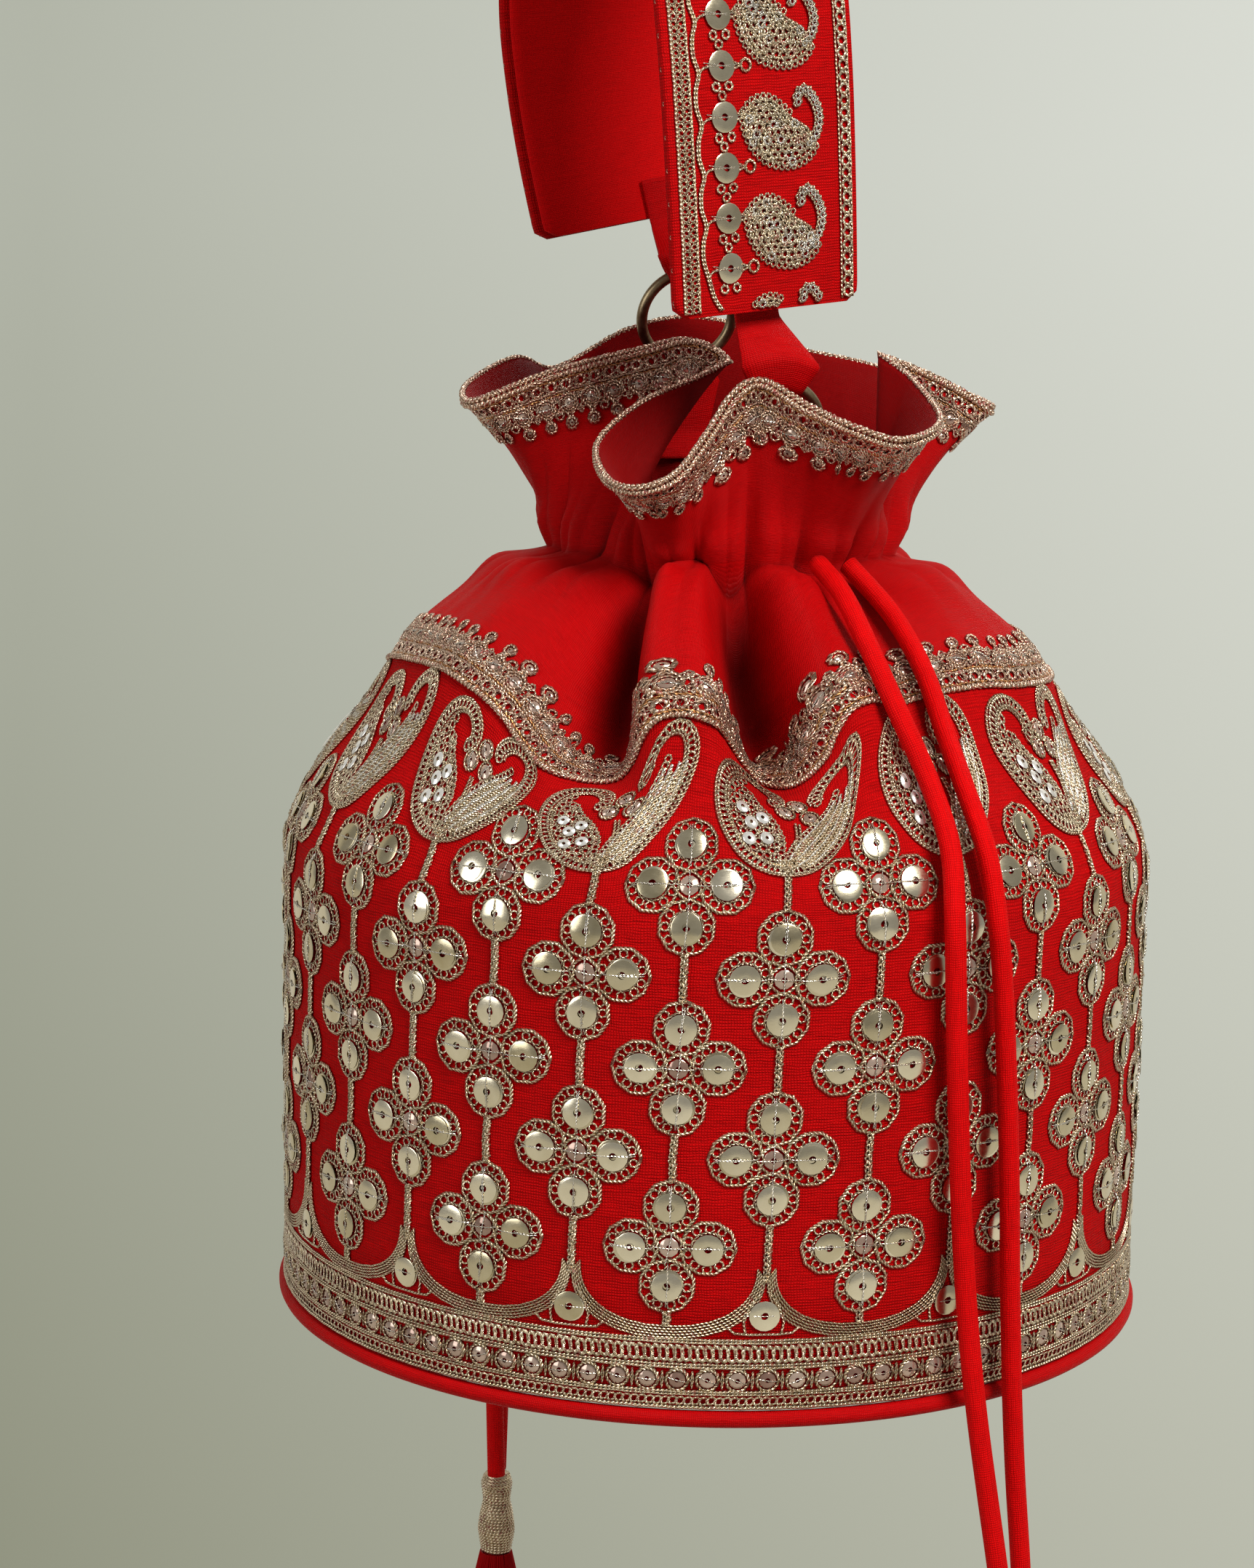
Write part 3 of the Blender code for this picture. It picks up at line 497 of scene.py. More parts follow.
@dataclass
class PouchForm:
    """The faces that the bag's cloth lies on, in metres from the middle of its base."""

    radius: float = 100.2 * MM
    wall: float = 104.0 * MM
    neck: float = 38.0 * MM
    neck_height: float = 172.5 * MM
    fold_depth: float = 13.0 * MM
    pleat_depth: float = 2.4 * MM
    pleats: int = 18
    seam_mean: float = 0.42
    lean: float = 18.4
    upright: float = 70.0 * MM
    section: tuple = (
        (0, 0), (0.025, 0.09), (0.14, 0.29), (0.31, 0.49), (0.455, 0.69), (0.57, 0.79), (0.745, 0.905),
        (0.89, 0.96), (1, 1))
    shear: float = 9.0
    puff_depth: float = 2.6 * MM
    wrinkle: float = 0.4 * MM
    folds: tuple = (
        (-11, 0.45), (-6, 0.6), (0, 0.45), (3.5, -0.7), (7.5, -1.65), (11, -1.35), (16.5, 0.05), (24, 0.4),
        (37, -0.3), (62, 0.25), (88, 0.0), (112, -0.8), (135, 0.3), (158, -0.7), (178, 0.3), (200, -0.9),
        (222, 0.3), (246, -0.6), (270, 0.0), (299, 0.22), (318, 0.3), (332, -0.25), (340, -1.25), (344.5, -1.05))
    seam_line: tuple = (
        (-71, 0.54), (-53, 0.545), (-42, 0.51), (-36.5, 0.472), (-31.5, 0.412), (-26.5, 0.367), (-21, 0.36),
        (-15, 0.375), (-12, 0.4), (-10, 0.45), (-8, 0.478), (-5, 0.486), (-2, 0.478), (1, 0.465), (4, 0.44),
        (7.5, 0.405), (11, 0.375), (14, 0.38), (17, 0.415), (18.5, 0.46), (20.5, 0.502), (24, 0.525), (30, 0.535),
        (40, 0.562), (50, 0.552), (59, 0.525), (73, 0.512), (90, 0.52), (112, 0.4), (135, 0.5), (158, 0.42),
        (178, 0.52), (200, 0.4), (222, 0.5), (246, 0.43), (270, 0.5))
    mouth: tuple = (
        (180, -7, 50, 50), (205, -24, 46, 47), (222, -41, 38, 38), (236, -50, 27, 41), (252, -60, 8, 36),
        (268, -57, -14, 34), (285, -39, -14, 41), (300, -19, -4, 46), (310, -8, 2, 48), (318, 0, 0, 44),
        (324, -7, -12, 40), (330, -19, -24, 35), (336, -28, -38, 27), (341, -25, -54, 21), (346, -18, -62, 20),
        (351, -10, -60, 23), (356, -4, -50, 30), (363, 2, -44, 39), (372, 8, -42, 42), (382, 18, -46, 37),
        (392, 28, -51, 33), (403, 39, -47, 30), (412, 48, -30, 33), (420, 43, -8, 40), (428, 36, 4, 45),
        (438, 49, 8, 40), (452, 62, 12, 33), (468, 58, 32, 34), (485, 34, 44, 40), (500, 18, 46, 43),
        (515, 15, 50, 45))

    def __post_init__(self) -> None:
        """Works out the shoulder's section."""
        line = through([(across, up, 0) for across, up in self.section], 200)
        self.line_radius = self.radius - line[:, 0] * (self.radius - self.neck)
        self.line_height = self.wall + line[:, 1] * (self.neck_height - self.wall)
        step = np.hypot(np.diff(self.line_radius), np.diff(self.line_height))
        run = np.concatenate([[0], np.cumsum(step)])
        self.share = run / run[-1]
        self.shoulder_length = float(run[-1])

    def fold(self, angle: Points) -> Points:
        """Height of the folds: 0 on the plain shoulder, -1 in the deepest fold."""
        return periodic(self.folds, angle)[:, 0]

    def pleat(self, angle: Points) -> Points:
        """The neck's pleats, from -1 in their creases to 1."""
        wave = np.radians(angle)
        coarse = np.abs(np.cos(0.5 * (self.pleats * wave + 1.2 * np.sin(3 * wave))))
        fine = np.abs(np.cos(0.5 * (41 * wave + 2.0 * np.sin(2 * wave + 1))))
        return 1.5 * coarse**0.8 + 0.5 * fine**0.8 - 1

    def ripple(self, angle: Points, place: Points) -> Points:
        """Small soft wrinkles, from about -1 to 1."""
        wave = np.radians(angle)
        return (0.45 * np.sin(23 * wave + 5 * place + 2 * np.sin(3 * wave)) * np.sin(4 * place + 2 * wave)
                + 0.35 * np.sin(37 * wave - 9 * place + 1.5 * np.sin(5 * wave))
                + 0.3 * np.sin(11 * wave + 17 * place))

    def shoulder(self, angle: Points, place: Points, lift: Points = 0.0) -> Points:
        """Points on the shoulder's outer face. place is 0 at the wall's top and 1 at the neck."""
        angle, place, lift = np.broadcast_arrays(np.atleast_1d(angle).astype(float), place, lift)
        r = np.interp(place, self.share, self.line_radius)
        z = np.interp(place, self.share, self.line_height)
        ahead = np.minimum(place + 0.02, 1)
        behind = np.maximum(place - 0.02, 0)
        along = unit(points_of(
            np.interp(ahead, self.share, self.line_radius) - np.interp(behind, self.share, self.line_radius),
            np.interp(ahead, self.share, self.line_height) - np.interp(behind, self.share, self.line_height)))
        fold = self.fold_depth * smooth_step(0.25, 0.55, place) * (1 - 0.7 * smooth_step(0.78, 1, place))
        pleat = self.pleat(angle)
        soft = self.wrinkle * smooth_step(0.4, 0.7, place) * self.ripple(angle, place)
        puff = self.puff_depth * np.exp(-((place - 0.88) / 0.075) ** 2) * (0.4 + 0.6 * pleat)
        out = fold * self.fold(angle + self.shear * (place - self.seam_mean)) + lift + soft + puff
        wave = np.radians(angle)
        r = r + out * along[:, 1] + self.pleat_depth * smooth_step(0.72, 0.96, place) * pleat
        z = z - out * along[:, 0]
        return about_axis(r, wave, z)

    def cloth(self, angle: Points, run: Points, lift: Points = 0.0) -> Points:
        """Points on the body's outer face at a length run up from the base."""
        angle, run, lift = np.broadcast_arrays(np.atleast_1d(angle).astype(float), run, lift)
        wave = np.radians(angle)
        wall = about_axis(self.radius + lift, wave, run)
        above = self.shoulder(angle, np.clip((run - self.wall) / self.shoulder_length, 0, 1), lift)
        return np.where((run < self.wall)[:, None], wall, above)

    def seam(self, angle: Points) -> Points:
        """Where the panel meets the yoke, as a place on the shoulder."""
        return periodic(self.seam_line, angle)[:, 0]

    def hollow(self, angle: Points, share: Points) -> Points:
        """Painted shade: how dark the cloth's colour is painted deep in a fold, in a pleat's crease and where it
        gathers into the neck, for shares as yoke() takes them, from 0 to 1.
        """
        start = self.seam(angle)
        place = start + (1 - start) * np.clip(share, 0, 1)
        valley = smooth_step(0.35, 1.5, -self.fold(angle + self.shear * (place - self.seam_mean)))
        window = smooth_step(0.28, 0.6, place) * (1 - 0.6 * smooth_step(0.85, 1, place)) * (share <= 1)
        crease = smooth_step(0.15, 0.85, -self.pleat(angle)) * np.exp(-((share - 1.02) / 0.16) ** 2)
        pinch = 0.35 * np.exp(-((share - 1.0) / 0.035) ** 2)
        return np.clip(0.85 * valley * window + 0.8 * crease + pinch, 0, 0.9)

    def mouth_edge(self, angle: Points) -> Points:
        """Points of the mouth's edge over the cloth that leaves the neck at an angle."""
        return periodic(self.mouth, angle) * MM + (0, 0, self.neck_height)

    def ruffle(self, angle: Points, share: Points) -> Points:
        """Points on the ruffle's outer face: share is 0 at the neck and 1 at the mouth's edge."""
        angle, share = np.broadcast_arrays(np.atleast_1d(angle).astype(float), share)
        wave = np.radians(angle)
        puff = self.puff_depth / self.pleat_depth * 0.8
        pleat = self.pleat(angle) * (1 - share) + puff * np.exp(
            -((share - 0.14) / 0.09) ** 2) * (0.4 + 0.6 * self.pleat(angle))
        wrinkle = 1.4 * self.wrinkle * self.ripple(angle, share) * (1 - share) ** 0.5
        radius = self.neck + self.pleat_depth * pleat + wrinkle
        neck = about_axis(radius, wave, self.neck_height)
        edge = self.mouth_edge(angle)
        across = (0.75 * share + 0.25 * share**2)[:, None]
        up = (1.25 * share - 0.25 * share**2)[:, None]
        mixed = neck + (edge - neck) * across
        mixed[:, 2:] = neck[:, 2:] + (edge - neck)[:, 2:] * up
        return mixed

    def yoke(self, angle: Points, share: Points) -> Points:
        """Points on the yoke: share is 0 at the seam, 1 at the neck and 2 at the mouth's edge."""
        angle, share = np.broadcast_arrays(np.atleast_1d(angle).astype(float), share)
        start = self.seam(angle) + 0.5 * MM / self.shoulder_length
        low = self.shoulder(angle, start + (1 - start) * np.clip(share, 0, 1))
        high = self.ruffle(angle, np.clip(share - 1, 0, 1))
        return np.where((share <= 1)[:, None], low, high)


FORM = PouchForm()


# Meshes


def settle(piece: Piece, finish: Any, body: Body, slot: str, *nodes: str) -> Piece:
    """Gives a finished mesh its material, its body and the CAD nodes that it stands for.

    Args:
        piece: The piece, with its place in its mesh.
        finish: Its finish, or None where the mesh has its materials.
        body: The CAD body that it rides on.
        slot: The record's material slot. It is not used.
        nodes: The CAD nodes that it replaces.

    Returns:
        The piece.
    """
    if finish is not None:
        piece.data.materials.clear()
        piece.data.materials.append(dressed(finish))
    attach(piece, body.value)
    if nodes:
        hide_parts(*nodes)
    return piece


def carry(mesh: bpy.types.Mesh, name: str, values: Sequence[float]) -> None:
    """Gives each of a mesh's points a number."""
    mesh.attributes.new(name, "FLOAT", "POINT").data.foreach_set("value", values)


def placed(name: str, data: bpy.types.ID) -> Piece:
    """A new object in the scene."""
    made = bpy.data.objects.new(name, data)
    bpy.context.scene.collection.objects.link(made)
    return made


def outward(piece: Piece) -> Piece:
    """The piece, with its faces turned outward."""
    check = bmesh.new()
    check.from_mesh(piece.data)
    bmesh.ops.recalc_face_normals(check, faces=check.faces)
    check.to_mesh(piece.data)
    check.free()
    return piece


def grid_faces(rows: int, columns: int, across: Sequence[float], up: Sequence[float], ring: bool = False
               ) -> tuple[list, list]:
    """Faces between rows of points that each close on themselves.

    Args:
        rows: How many rows.
        columns: Points in each.
        across: Place of each column on the cloth, and of the end of the last.
        up: Place of each row on the cloth, and of the end of the last where the rows close too.
        ring: Whether the last row joins the first.

    Returns:
        The faces, and the place on the cloth of each of their corners.
    """
    faces, uv = [], []
    for i in range(rows if ring else rows - 1):
        n = (i + 1) % rows
        for j in range(columns):
            k = (j + 1) % columns
            faces.append((i * columns + j, i * columns + k, n * columns + k, n * columns + j))
            uv += [(across[j], up[i]), (across[j + 1], up[i]), (across[j + 1], up[i + 1]), (across[j], up[i + 1])]
    return faces, uv


def end_faces(rows: int, columns: int) -> list[tuple]:
    """The two faces that close a tube of rows."""
    return [tuple(range(columns))[::-1], tuple((rows - 1) * columns + j for j in range(columns))]


def mesh_piece(name: str, points: Points, faces: Sequence, uv: Optional[Points] = None,
               place: Points = BAG_PLACE) -> Piece:
    """A mesh object at the origin.

    Args:
        name: Its name.
        points: Its corners, in the bag's own frame.
        faces: Corners of each face.
        uv: For each face corner, the place on the cloth in mm.
        place: What is added to the points.

    Returns:
        The object, smooth shaded.
    """
    mesh = bpy.data.meshes.new(name)
    mesh.from_pydata((np.asarray(points) + place).tolist(), [], [list(f) for f in faces])
    if uv is not None:
        layer = mesh.uv_layers.new(name="cloth")
        layer.data.foreach_set("uv", np.asarray(uv, np.float32).ravel())
    mesh.shade_smooth()
    made = placed(name, mesh)
    return made


def normals(grid: Points) -> Points:
    """Outward normals at the points of rows that each close on themselves."""
    along = np.roll(grid, -1, axis=1) - np.roll(grid, 1, axis=1)
    return unit(np.cross(along, np.gradient(grid, axis=0)))


def round_cloth(name: str, grid: Points, thickness: float, across: Points, up: Points, hollow: Points
                ) -> Piece:
    """A closed round of cloth between its outer face and a face inside it.

    Args:
        name: The piece's name.
        grid: The outer face's points, as rows up of points round.
        thickness: The cloth's thickness.
        across: Place along the cloth of each column, and of the end of the last, in mm.
        up: Place up the cloth of each row, in mm.
        hollow: The painted shade of each point, darker deep in a fold, from 0 to 1.

    Returns:
        The piece.
    """
    rows, columns = grid.shape[:2]
    inner = grid - normals(grid) * thickness
    points = np.vstack([grid.reshape(-1, 3), inner.reshape(-1, 3)])
    half = rows * columns
    outer_faces, outer_uv = grid_faces(rows, columns, across, up)
    faces, uv = [], []
    for k, face in enumerate(outer_faces):
        corners = outer_uv[4 * k:4 * k + 4]
        faces += [face, tuple(half + corner for corner in face[::-1])]
        uv += corners + corners[::-1]
    top = (rows - 1) * columns
    for j in range(columns):
        k = (j + 1) % columns
        faces.append((half + j, half + k, k, j))
        uv += [(across[j], up[0] - 1), (across[j + 1], up[0] - 1), (across[j + 1], up[0]), (across[j], up[0])]
        faces.append((top + j, top + k, half + top + k, half + top + j))
        uv += [(across[j], up[-1]), (across[j + 1], up[-1]), (across[j + 1], up[-1] + 1), (across[j], up[-1] + 1)]
    made = mesh_piece(name, points, faces, np.array(uv))
    outer = np.asarray(hollow, np.float32).ravel()
    # Painted shade: the inner face is painted darker than the outer one.
    shade = np.concatenate([outer, np.minimum(outer + 0.6, 0.9)])
    carry(made.data, "hollow", shade)
    return made


def tube(name: str, path: Points, radius: Union[float, Points], sides: int = 16, closed: bool = False,
         squash: float = 1.0, place: Points = BAG_PLACE) -> Piece:
    """A round tube of cloth or wire along a path, with its UV map in mm along and round it.

    Args:
        name: The piece's name.
        path: Points of its middle line.
        radius: Its radius, one or one a point.
        sides: Corners of its section.
        closed: Whether its ends meet.
        squash: Height of its section as a share of its width.
        place: What is added to the points.

    Returns:
        The piece.
    """
    path = np.asarray(path, float)
    count = len(path)
    radius = np.broadcast_to(radius, count)
    along = np.roll(path, -1, axis=0) - np.roll(path, 1, axis=0) if closed else np.gradient(path, axis=0)
    along = unit(along)
    side = np.zeros_like(path)
    start = np.cross(along[0], (0.3, 0.2, 1.0))
    side[0] = unit(start)
    for k in range(1, count):
        side[k] = unit(side[k - 1] - along[k] * np.dot(side[k - 1], along[k]))
    if closed:
        last = unit(side[-1] - along[0] * np.dot(side[-1], along[0]))
        twist = math.atan2(np.dot(np.cross(side[0], last), along[0]), np.dot(side[0], last))
        for k in range(count):
            turn = -twist * k / count
            side[k] = side[k] * math.cos(turn) + np.cross(along[k], side[k]) * math.sin(turn)
    other = np.cross(along, side)
    t = np.arange(sides) * 2 * math.pi / sides
    ring = (side[:, None] * np.cos(t)[None, :, None] + other[:, None] * np.sin(t)[None, :, None] * squash)
    points = (path[:, None] + ring * radius[:, None, None]).reshape(-1, 3)
    run = run_along(np.vstack([path, path[:1]])) / MM
    wide = 2 * math.pi * float(np.mean(radius)) / MM / sides
    faces, uv = grid_faces(count, sides, np.arange(sides + 1) * wide, run, closed)
    uv = [(u, v) for v, u in uv]
    if not closed:
        faces += end_faces(count, sides)
        uv += [(j * wide, 0) for j in range(sides)] * 2
    made = mesh_piece(name, points, faces, np.array(uv), place)
    return outward(made)


def turned(name: str, profile: Sequence, steps: int, centre: Points) -> Piece:
    """A solid of revolution about a line along Z through a centre. The profile runs from axis to axis."""
    profile = np.asarray(profile, float)
    inner = profile[1:-1]
    angle = np.arange(steps) * 2 * math.pi / steps
    ring = np.stack([inner[:, None, 0] * np.cos(angle), inner[:, None, 0] * np.sin(angle),
                     np.repeat(inner[:, 1:], steps, axis=1)], axis=-1).reshape(-1, 3)
    points = np.vstack([ring, [(0, 0, profile[0, 1])], [(0, 0, profile[-1, 1])]]) + centre
    count = len(inner)
    faces, uv = grid_faces(count, steps, range(steps + 1), run_along(profile) / MM)
    wide = np.repeat(inner[:-1, 0] * 2 * math.pi / steps / MM, 4 * steps)
    uv = [(u * w, v) for (u, v), w in zip(uv, wide)]
    for j in range(steps):
        k = (j + 1) % steps
        faces.append((len(ring), k, j))
        uv += [(0, 0), tuple(points[k, :2] / MM), tuple(points[j, :2] / MM)]
        faces.append((len(ring) + 1, (count - 1) * steps + j, (count - 1) * steps + k))
        uv += [(0, 0), tuple(points[j, :2] / MM), tuple(points[k, :2] / MM)]
    made = mesh_piece(name, points, faces, np.array(uv))
    return outward(made)


# Thread work: laid out flat by Geometry Nodes, in mm along, mm up and mm of height, then draped


class FlatTree:
    """A Geometry Nodes tree that is run on a flat mesh."""

    def __init__(self, name: str, sockets: Sequence[tuple[str, str]]) -> None:
        """Makes the tree with its input Geometry and the named inputs after it."""
        self.tree = bpy.data.node_groups.new(name, "GeometryNodeTree")
        face = self.tree.interface
        face.new_socket("Geometry", in_out="INPUT", socket_type="NodeSocketGeometry")
        face.new_socket("Geometry", in_out="OUTPUT", socket_type="NodeSocketGeometry")
        self.identifiers = {}
        for title, kind in sockets:
            made = face.new_socket(title, in_out="INPUT", socket_type=f"NodeSocket{kind}")
            self.identifiers[title] = made.identifier
        self.net = Net(self.tree)
        entry = self.net.node("NodeGroupInput")
        self.inputs = {socket.name: Signal(self.net, socket) for socket in entry.outputs if socket.name}
        self.write()

    def write(self) -> None:
        """Adds the tree's nodes."""
        raise NotImplementedError

    def named(self, name: str, kind: str = "FLOAT") -> Signal:
        """An attribute that the flat mesh carries."""
        return self.net.get("GeometryNodeInputNamedAttribute", {"data_type": kind}, {"Name": name})

    def stored(self, geometry: Signal, name: str, value: Signal, domain: str = "POINT") -> Signal:
        """The geometry with a number stored on it."""
        return self.net.get("GeometryNodeStoreNamedAttribute", {"data_type": "FLOAT", "domain": domain},
                            {"Geometry": geometry, "Name": name, "Value": value})

    def close(self, geometry: Signal) -> None:
        """Realises, gives the material and ends the tree."""
        real = self.net.get("GeometryNodeRealizeInstances", None, {"Geometry": geometry})
        worn = self.net.get("GeometryNodeSetMaterial", None,
                            {"Geometry": real, "Material": self.inputs["Material"]})
        self.net.node("NodeGroupOutput", None, {0: worn})

    def run(self, name: str, flat: bpy.types.Mesh, **values: Any) -> bpy.types.Mesh:
        """Runs the tree on a flat mesh.

        Args:
            name: The name of what it makes.
            flat: The mesh.
            values: The tree's named inputs, with _ for spaces.

        Returns:
            The realised mesh. The flat mesh and the modifier are gone.
        """
        holder = placed(name, flat)
        modifier = holder.modifiers.new("Work", "NODES")
        modifier.node_group = self.tree
        for title, value in values.items():
            modifier[self.identifiers[title.replace("_", " ")]] = value
        graph = bpy.context.evaluated_depsgraph_get()
        made = bpy.data.meshes.new_from_object(holder.evaluated_get(graph), preserve_all_data_layers=True,
                                               depsgraph=graph)
        holder.modifiers.remove(modifier)
        bpy.data.objects.remove(holder)
        bpy.data.meshes.remove(flat)
        made.name = name
        return made


class ThreadTree(FlatTree):
    """Sweeps a round thread along each line of a mesh of edges; "thick" is its radius."""

    def __init__(self) -> None:
        """Makes the tree."""
        super().__init__("Threads", (("Sides", "Int"), ("Material", "Material")))

    def write(self) -> None:
        """Line to curve to tube, with the run along it and the place round it as attributes."""
        net = self.net
        line = net.get("GeometryNodeMeshToCurve", None, {"Mesh": self.inputs["Geometry"]})
        run = net.get("GeometryNodeSplineParameter", out="Length")
        line = self.stored(line, "along", run)
        thick = self.named("thick")
        ring = net.get("GeometryNodeCurvePrimitiveCircle", {"mode": "RADIUS"},
                       {"Resolution": self.inputs["Sides"], "Radius": 1.0})
        turn = net.get("GeometryNodeSplineParameter", out="Factor")
        ring = self.stored(ring, "side", turn)
        swept = net.get("GeometryNodeCurveToMesh", None,
                        {"Curve": line, "Profile Curve": ring, "Scale": thick, "Fill Caps": True})
        soft = net.get("GeometryNodeSetShadeSmooth", None, {"Geometry": swept, "Shade Smooth": True})
        self.close(soft)


class StampTree(FlatTree):
    """Puts a copy of a stamp on each point, turned by "turn" and sized by "grow", with a seeded jitter."""

    def __init__(self) -> None:
        """Makes the tree."""
        super().__init__("Stamps", (("Stamp", "Object"), ("Jitter", "Float"), ("Tilt", "Float"), ("Seed", "Int"),
                                    ("Material", "Material")))

    def write(self) -> None:
        """Points to instances, each with a random number, to one mesh."""
        net = self.net

        def chance(low: float, high: float, offset: int) -> Signal:
            """A random number a point."""
            return net.get("FunctionNodeRandomValue", {"data_type": "FLOAT"},
                           {"Min_001": low, "Max_001": high, "Seed": self.inputs["Seed"] + offset}, "Value_001")

        turn, grow = self.named("turn"), self.named("grow", "FLOAT_VECTOR")
        tilt = self.inputs["Tilt"]
        euler = net.get("ShaderNodeCombineXYZ", None,
                        {0: chance(-1, 1, 1) * tilt, 1: chance(-1, 1, 2) * tilt,
                         2: turn + chance(-1, 1, 3) * self.inputs["Jitter"]})
        rotation = net.get("FunctionNodeEulerToRotation", None, {"Euler": euler})
        stamp = net.get("GeometryNodeObjectInfo", {"transform_space": "ORIGINAL"},
                        {"Object": self.inputs["Stamp"]}, "Geometry")
        copies = net.get("GeometryNodeInstanceOnPoints", None,
                         {"Points": self.inputs["Geometry"], "Instance": stamp,
                          "Rotation": rotation, "Scale": grow})
        self.close(self.stored(copies, "rand", chance(0, 1, 4), "INSTANCE"))


THREADS = ThreadTree()
STAMPS = StampTree()


def flat_lines(lines: Sequence[tuple[Points, float, bool]]) -> bpy.types.Mesh:
    """A mesh of edges.

    Args:
        lines: For each thread its points in mm, its radius in mm and whether it closes on itself.

    Returns:
        The mesh, with the radius as the attribute "thick".
    """
    points, edges, thick = [], [], []
    for path, radius, closed in lines:
        start = len(points)
        points += [tuple(p) for p in path]
        thick += [radius] * len(path)
        edges += [(k, k + 1) for k in range(start, len(points) - 1)]
        if closed:
            edges.append((len(points) - 1, start))
    mesh = bpy.data.meshes.new("flat_lines")
    mesh.from_pydata(points, edges, [])
    carry(mesh, "thick", thick)
    return mesh


def flat_points(spots: Sequence[tuple[float, float, float, float, float, float]]) -> bpy.types.Mesh:
    """A mesh of loose points: x, y, height, turn in radians, and the stamp's length and width."""
    spots = np.asarray(spots, float)
    mesh = bpy.data.meshes.new("flat_points")
    mesh.from_pydata(spots[:, :3].tolist(), [], [])
    carry(mesh, "turn", spots[:, 3].copy())
    grow = points_of(spots[:, 4], spots[:, 5], np.minimum(spots[:, 4], spots[:, 5]))
    mesh.attributes.new("grow", "FLOAT_VECTOR", "POINT").data.foreach_set("vector", grow.ravel())
    return mesh


def stamp_piece(name: str, points: Sequence, rows: int, columns: int, ring: bool) -> Piece:
    """A stamp's mesh from its rows of points, lying flat about the origin."""
    faces, _ = grid_faces(rows, columns, range(columns + 1), range(rows + 1), ring)
    return mesh_piece(name, points, [(a, d, c, b) for a, b, c, d in faces], place=np.zeros(3))


def hoop(name: str, radius: float, wire: float, steps: int, sides: int) -> Piece:
    """A stamp: one loop of thread, lying flat, with the attributes of a thread."""
    t = np.arange(steps) * 2 * math.pi / steps
    s = np.arange(sides) * 2 * math.pi / sides - math.pi / 2
    rho = radius + wire * np.cos(s)
    points = np.stack([rho[None] * np.cos(t)[:, None], rho[None] * np.sin(t)[:, None],
                       np.repeat(wire * np.sin(s)[None], steps, axis=0)], axis=-1).reshape(-1, 3)
    made = stamp_piece(name, points, steps, sides, True)
    along = np.repeat(t * radius, sides)
    carry(made.data, "along", along)
    carry(made.data, "side", np.tile(s / (2 * math.pi), steps))
    return made


def disc(name: str, radius: float, hole: float, steps: int, thickness: float, dish: float) -> Piece:
    """A stamp: one sequin with a hole, slightly dished."""
    t = np.arange(steps) * 2 * math.pi / steps
    rings = ((hole, thickness), (radius * 0.93, thickness + dish), (radius, thickness * 0.4 + dish),
             (radius * 0.98, dish * 0.5))
    points = [(r * math.cos(a), r * math.sin(a), h) for r, h in rings for a in t]
    made = stamp_piece(name, points, len(rings), steps, False)
    made.data.set_sharp_from_angle(angle=math.radians(35))
    return made


def joined(name: str, meshes: Sequence[bpy.types.Mesh]) -> bpy.types.Mesh:
    """One mesh from several, with their attributes and materials. The others are removed."""
    holders = []
    for mesh in meshes:
        holder = placed(name, mesh)
        holders.append(holder)
    if len(holders) > 1:
        with bpy.context.temp_override(active_object=holders[0], object=holders[0], selected_objects=holders,
                                       selected_editable_objects=holders):
            bpy.ops.object.join()
    made = holders[0].data
    bpy.data.objects.remove(holders[0])
    made.name = name
    return made


def draped(name: str, meshes: Sequence[bpy.types.Mesh], lay: Callable[[Points], Points]) -> Piece:
    """Lays flat thread work on the cloth.

    Args:
        name: The piece's name.
        meshes: Flat meshes, in mm.
        lay: Takes flat points in mm to points in the bag's own frame.

    Returns:
        The piece.
    """
    mesh = joined(name, meshes)
    flat = np.zeros(len(mesh.vertices) * 3, np.float32)
    mesh.vertices.foreach_get("co", flat)
    laid = lay(flat.reshape(-1, 3).astype(float)) + BAG_PLACE
    mesh.vertices.foreach_set("co", laid.ravel().astype(np.float32))
    mesh.update()
    made = placed(name, mesh)
    return made


class Stitcher:
    """Gathers flat thread work: lines of thread and stamps, by finish."""

    def __init__(self) -> None:
        """Starts with nothing, and with the stamps."""
        self.lines: dict[tuple[str, int], list] = {}
        self.stamps: dict[tuple[str, str], list] = {}
        self.finishes: dict[str, Any] = {}

    def line(self, path: Sequence, radius: float, finish: Any, closed: bool = False, sides: int = 3) -> None:
        """Adds a thread along points in mm; a point without a height lies on the cloth."""
        path = np.asarray(path, float)
        if path.shape[1] == 2:
            path = raised(path, radius)
        self.finishes[finish.name] = finish
        self.lines.setdefault((finish.name, sides), []).append((path, radius, closed))

    def stamp(self, kind: str, finish: Any, x: float, y: float, height: float = 0.0, turn: float = 0.0,
              length: float = 1.0, width: Optional[float] = None) -> None:
        """Adds a stamp of a kind at a place in mm."""
        self.finishes[finish.name] = finish
        self.stamps.setdefault((kind, finish.name), []).append(
            (x, y, height, turn, length, length if width is None else width))

    def finish_flat(self, kit: Kit, tilt: float = 0.0, jitter: float = 0.15,
                    seed: int = 3) -> list[bpy.types.Mesh]:
        """Runs both trees.

        Args:
            kit: The stamps by kind.
            tilt: How far a stamp may lean, in radians.
            jitter: How far it may turn, in radians.
            seed: The seed of both.

        Returns:
            The flat meshes.
        """
        made = []
        for (finish, sides), lines in self.lines.items():
            made.append(THREADS.run("threads", flat_lines(lines), Sides=sides,
                                    Material=dressed(self.finishes[finish])))
        for number, ((kind, finish), spots) in enumerate(self.stamps.items()):
            made.append(STAMPS.run("stamps", flat_points(spots), Stamp=kit[kind], Jitter=jitter, Tilt=tilt,
                                   Seed=seed + 17 * number, Material=dressed(self.finishes[finish])))
        return made


# The bag's cloth


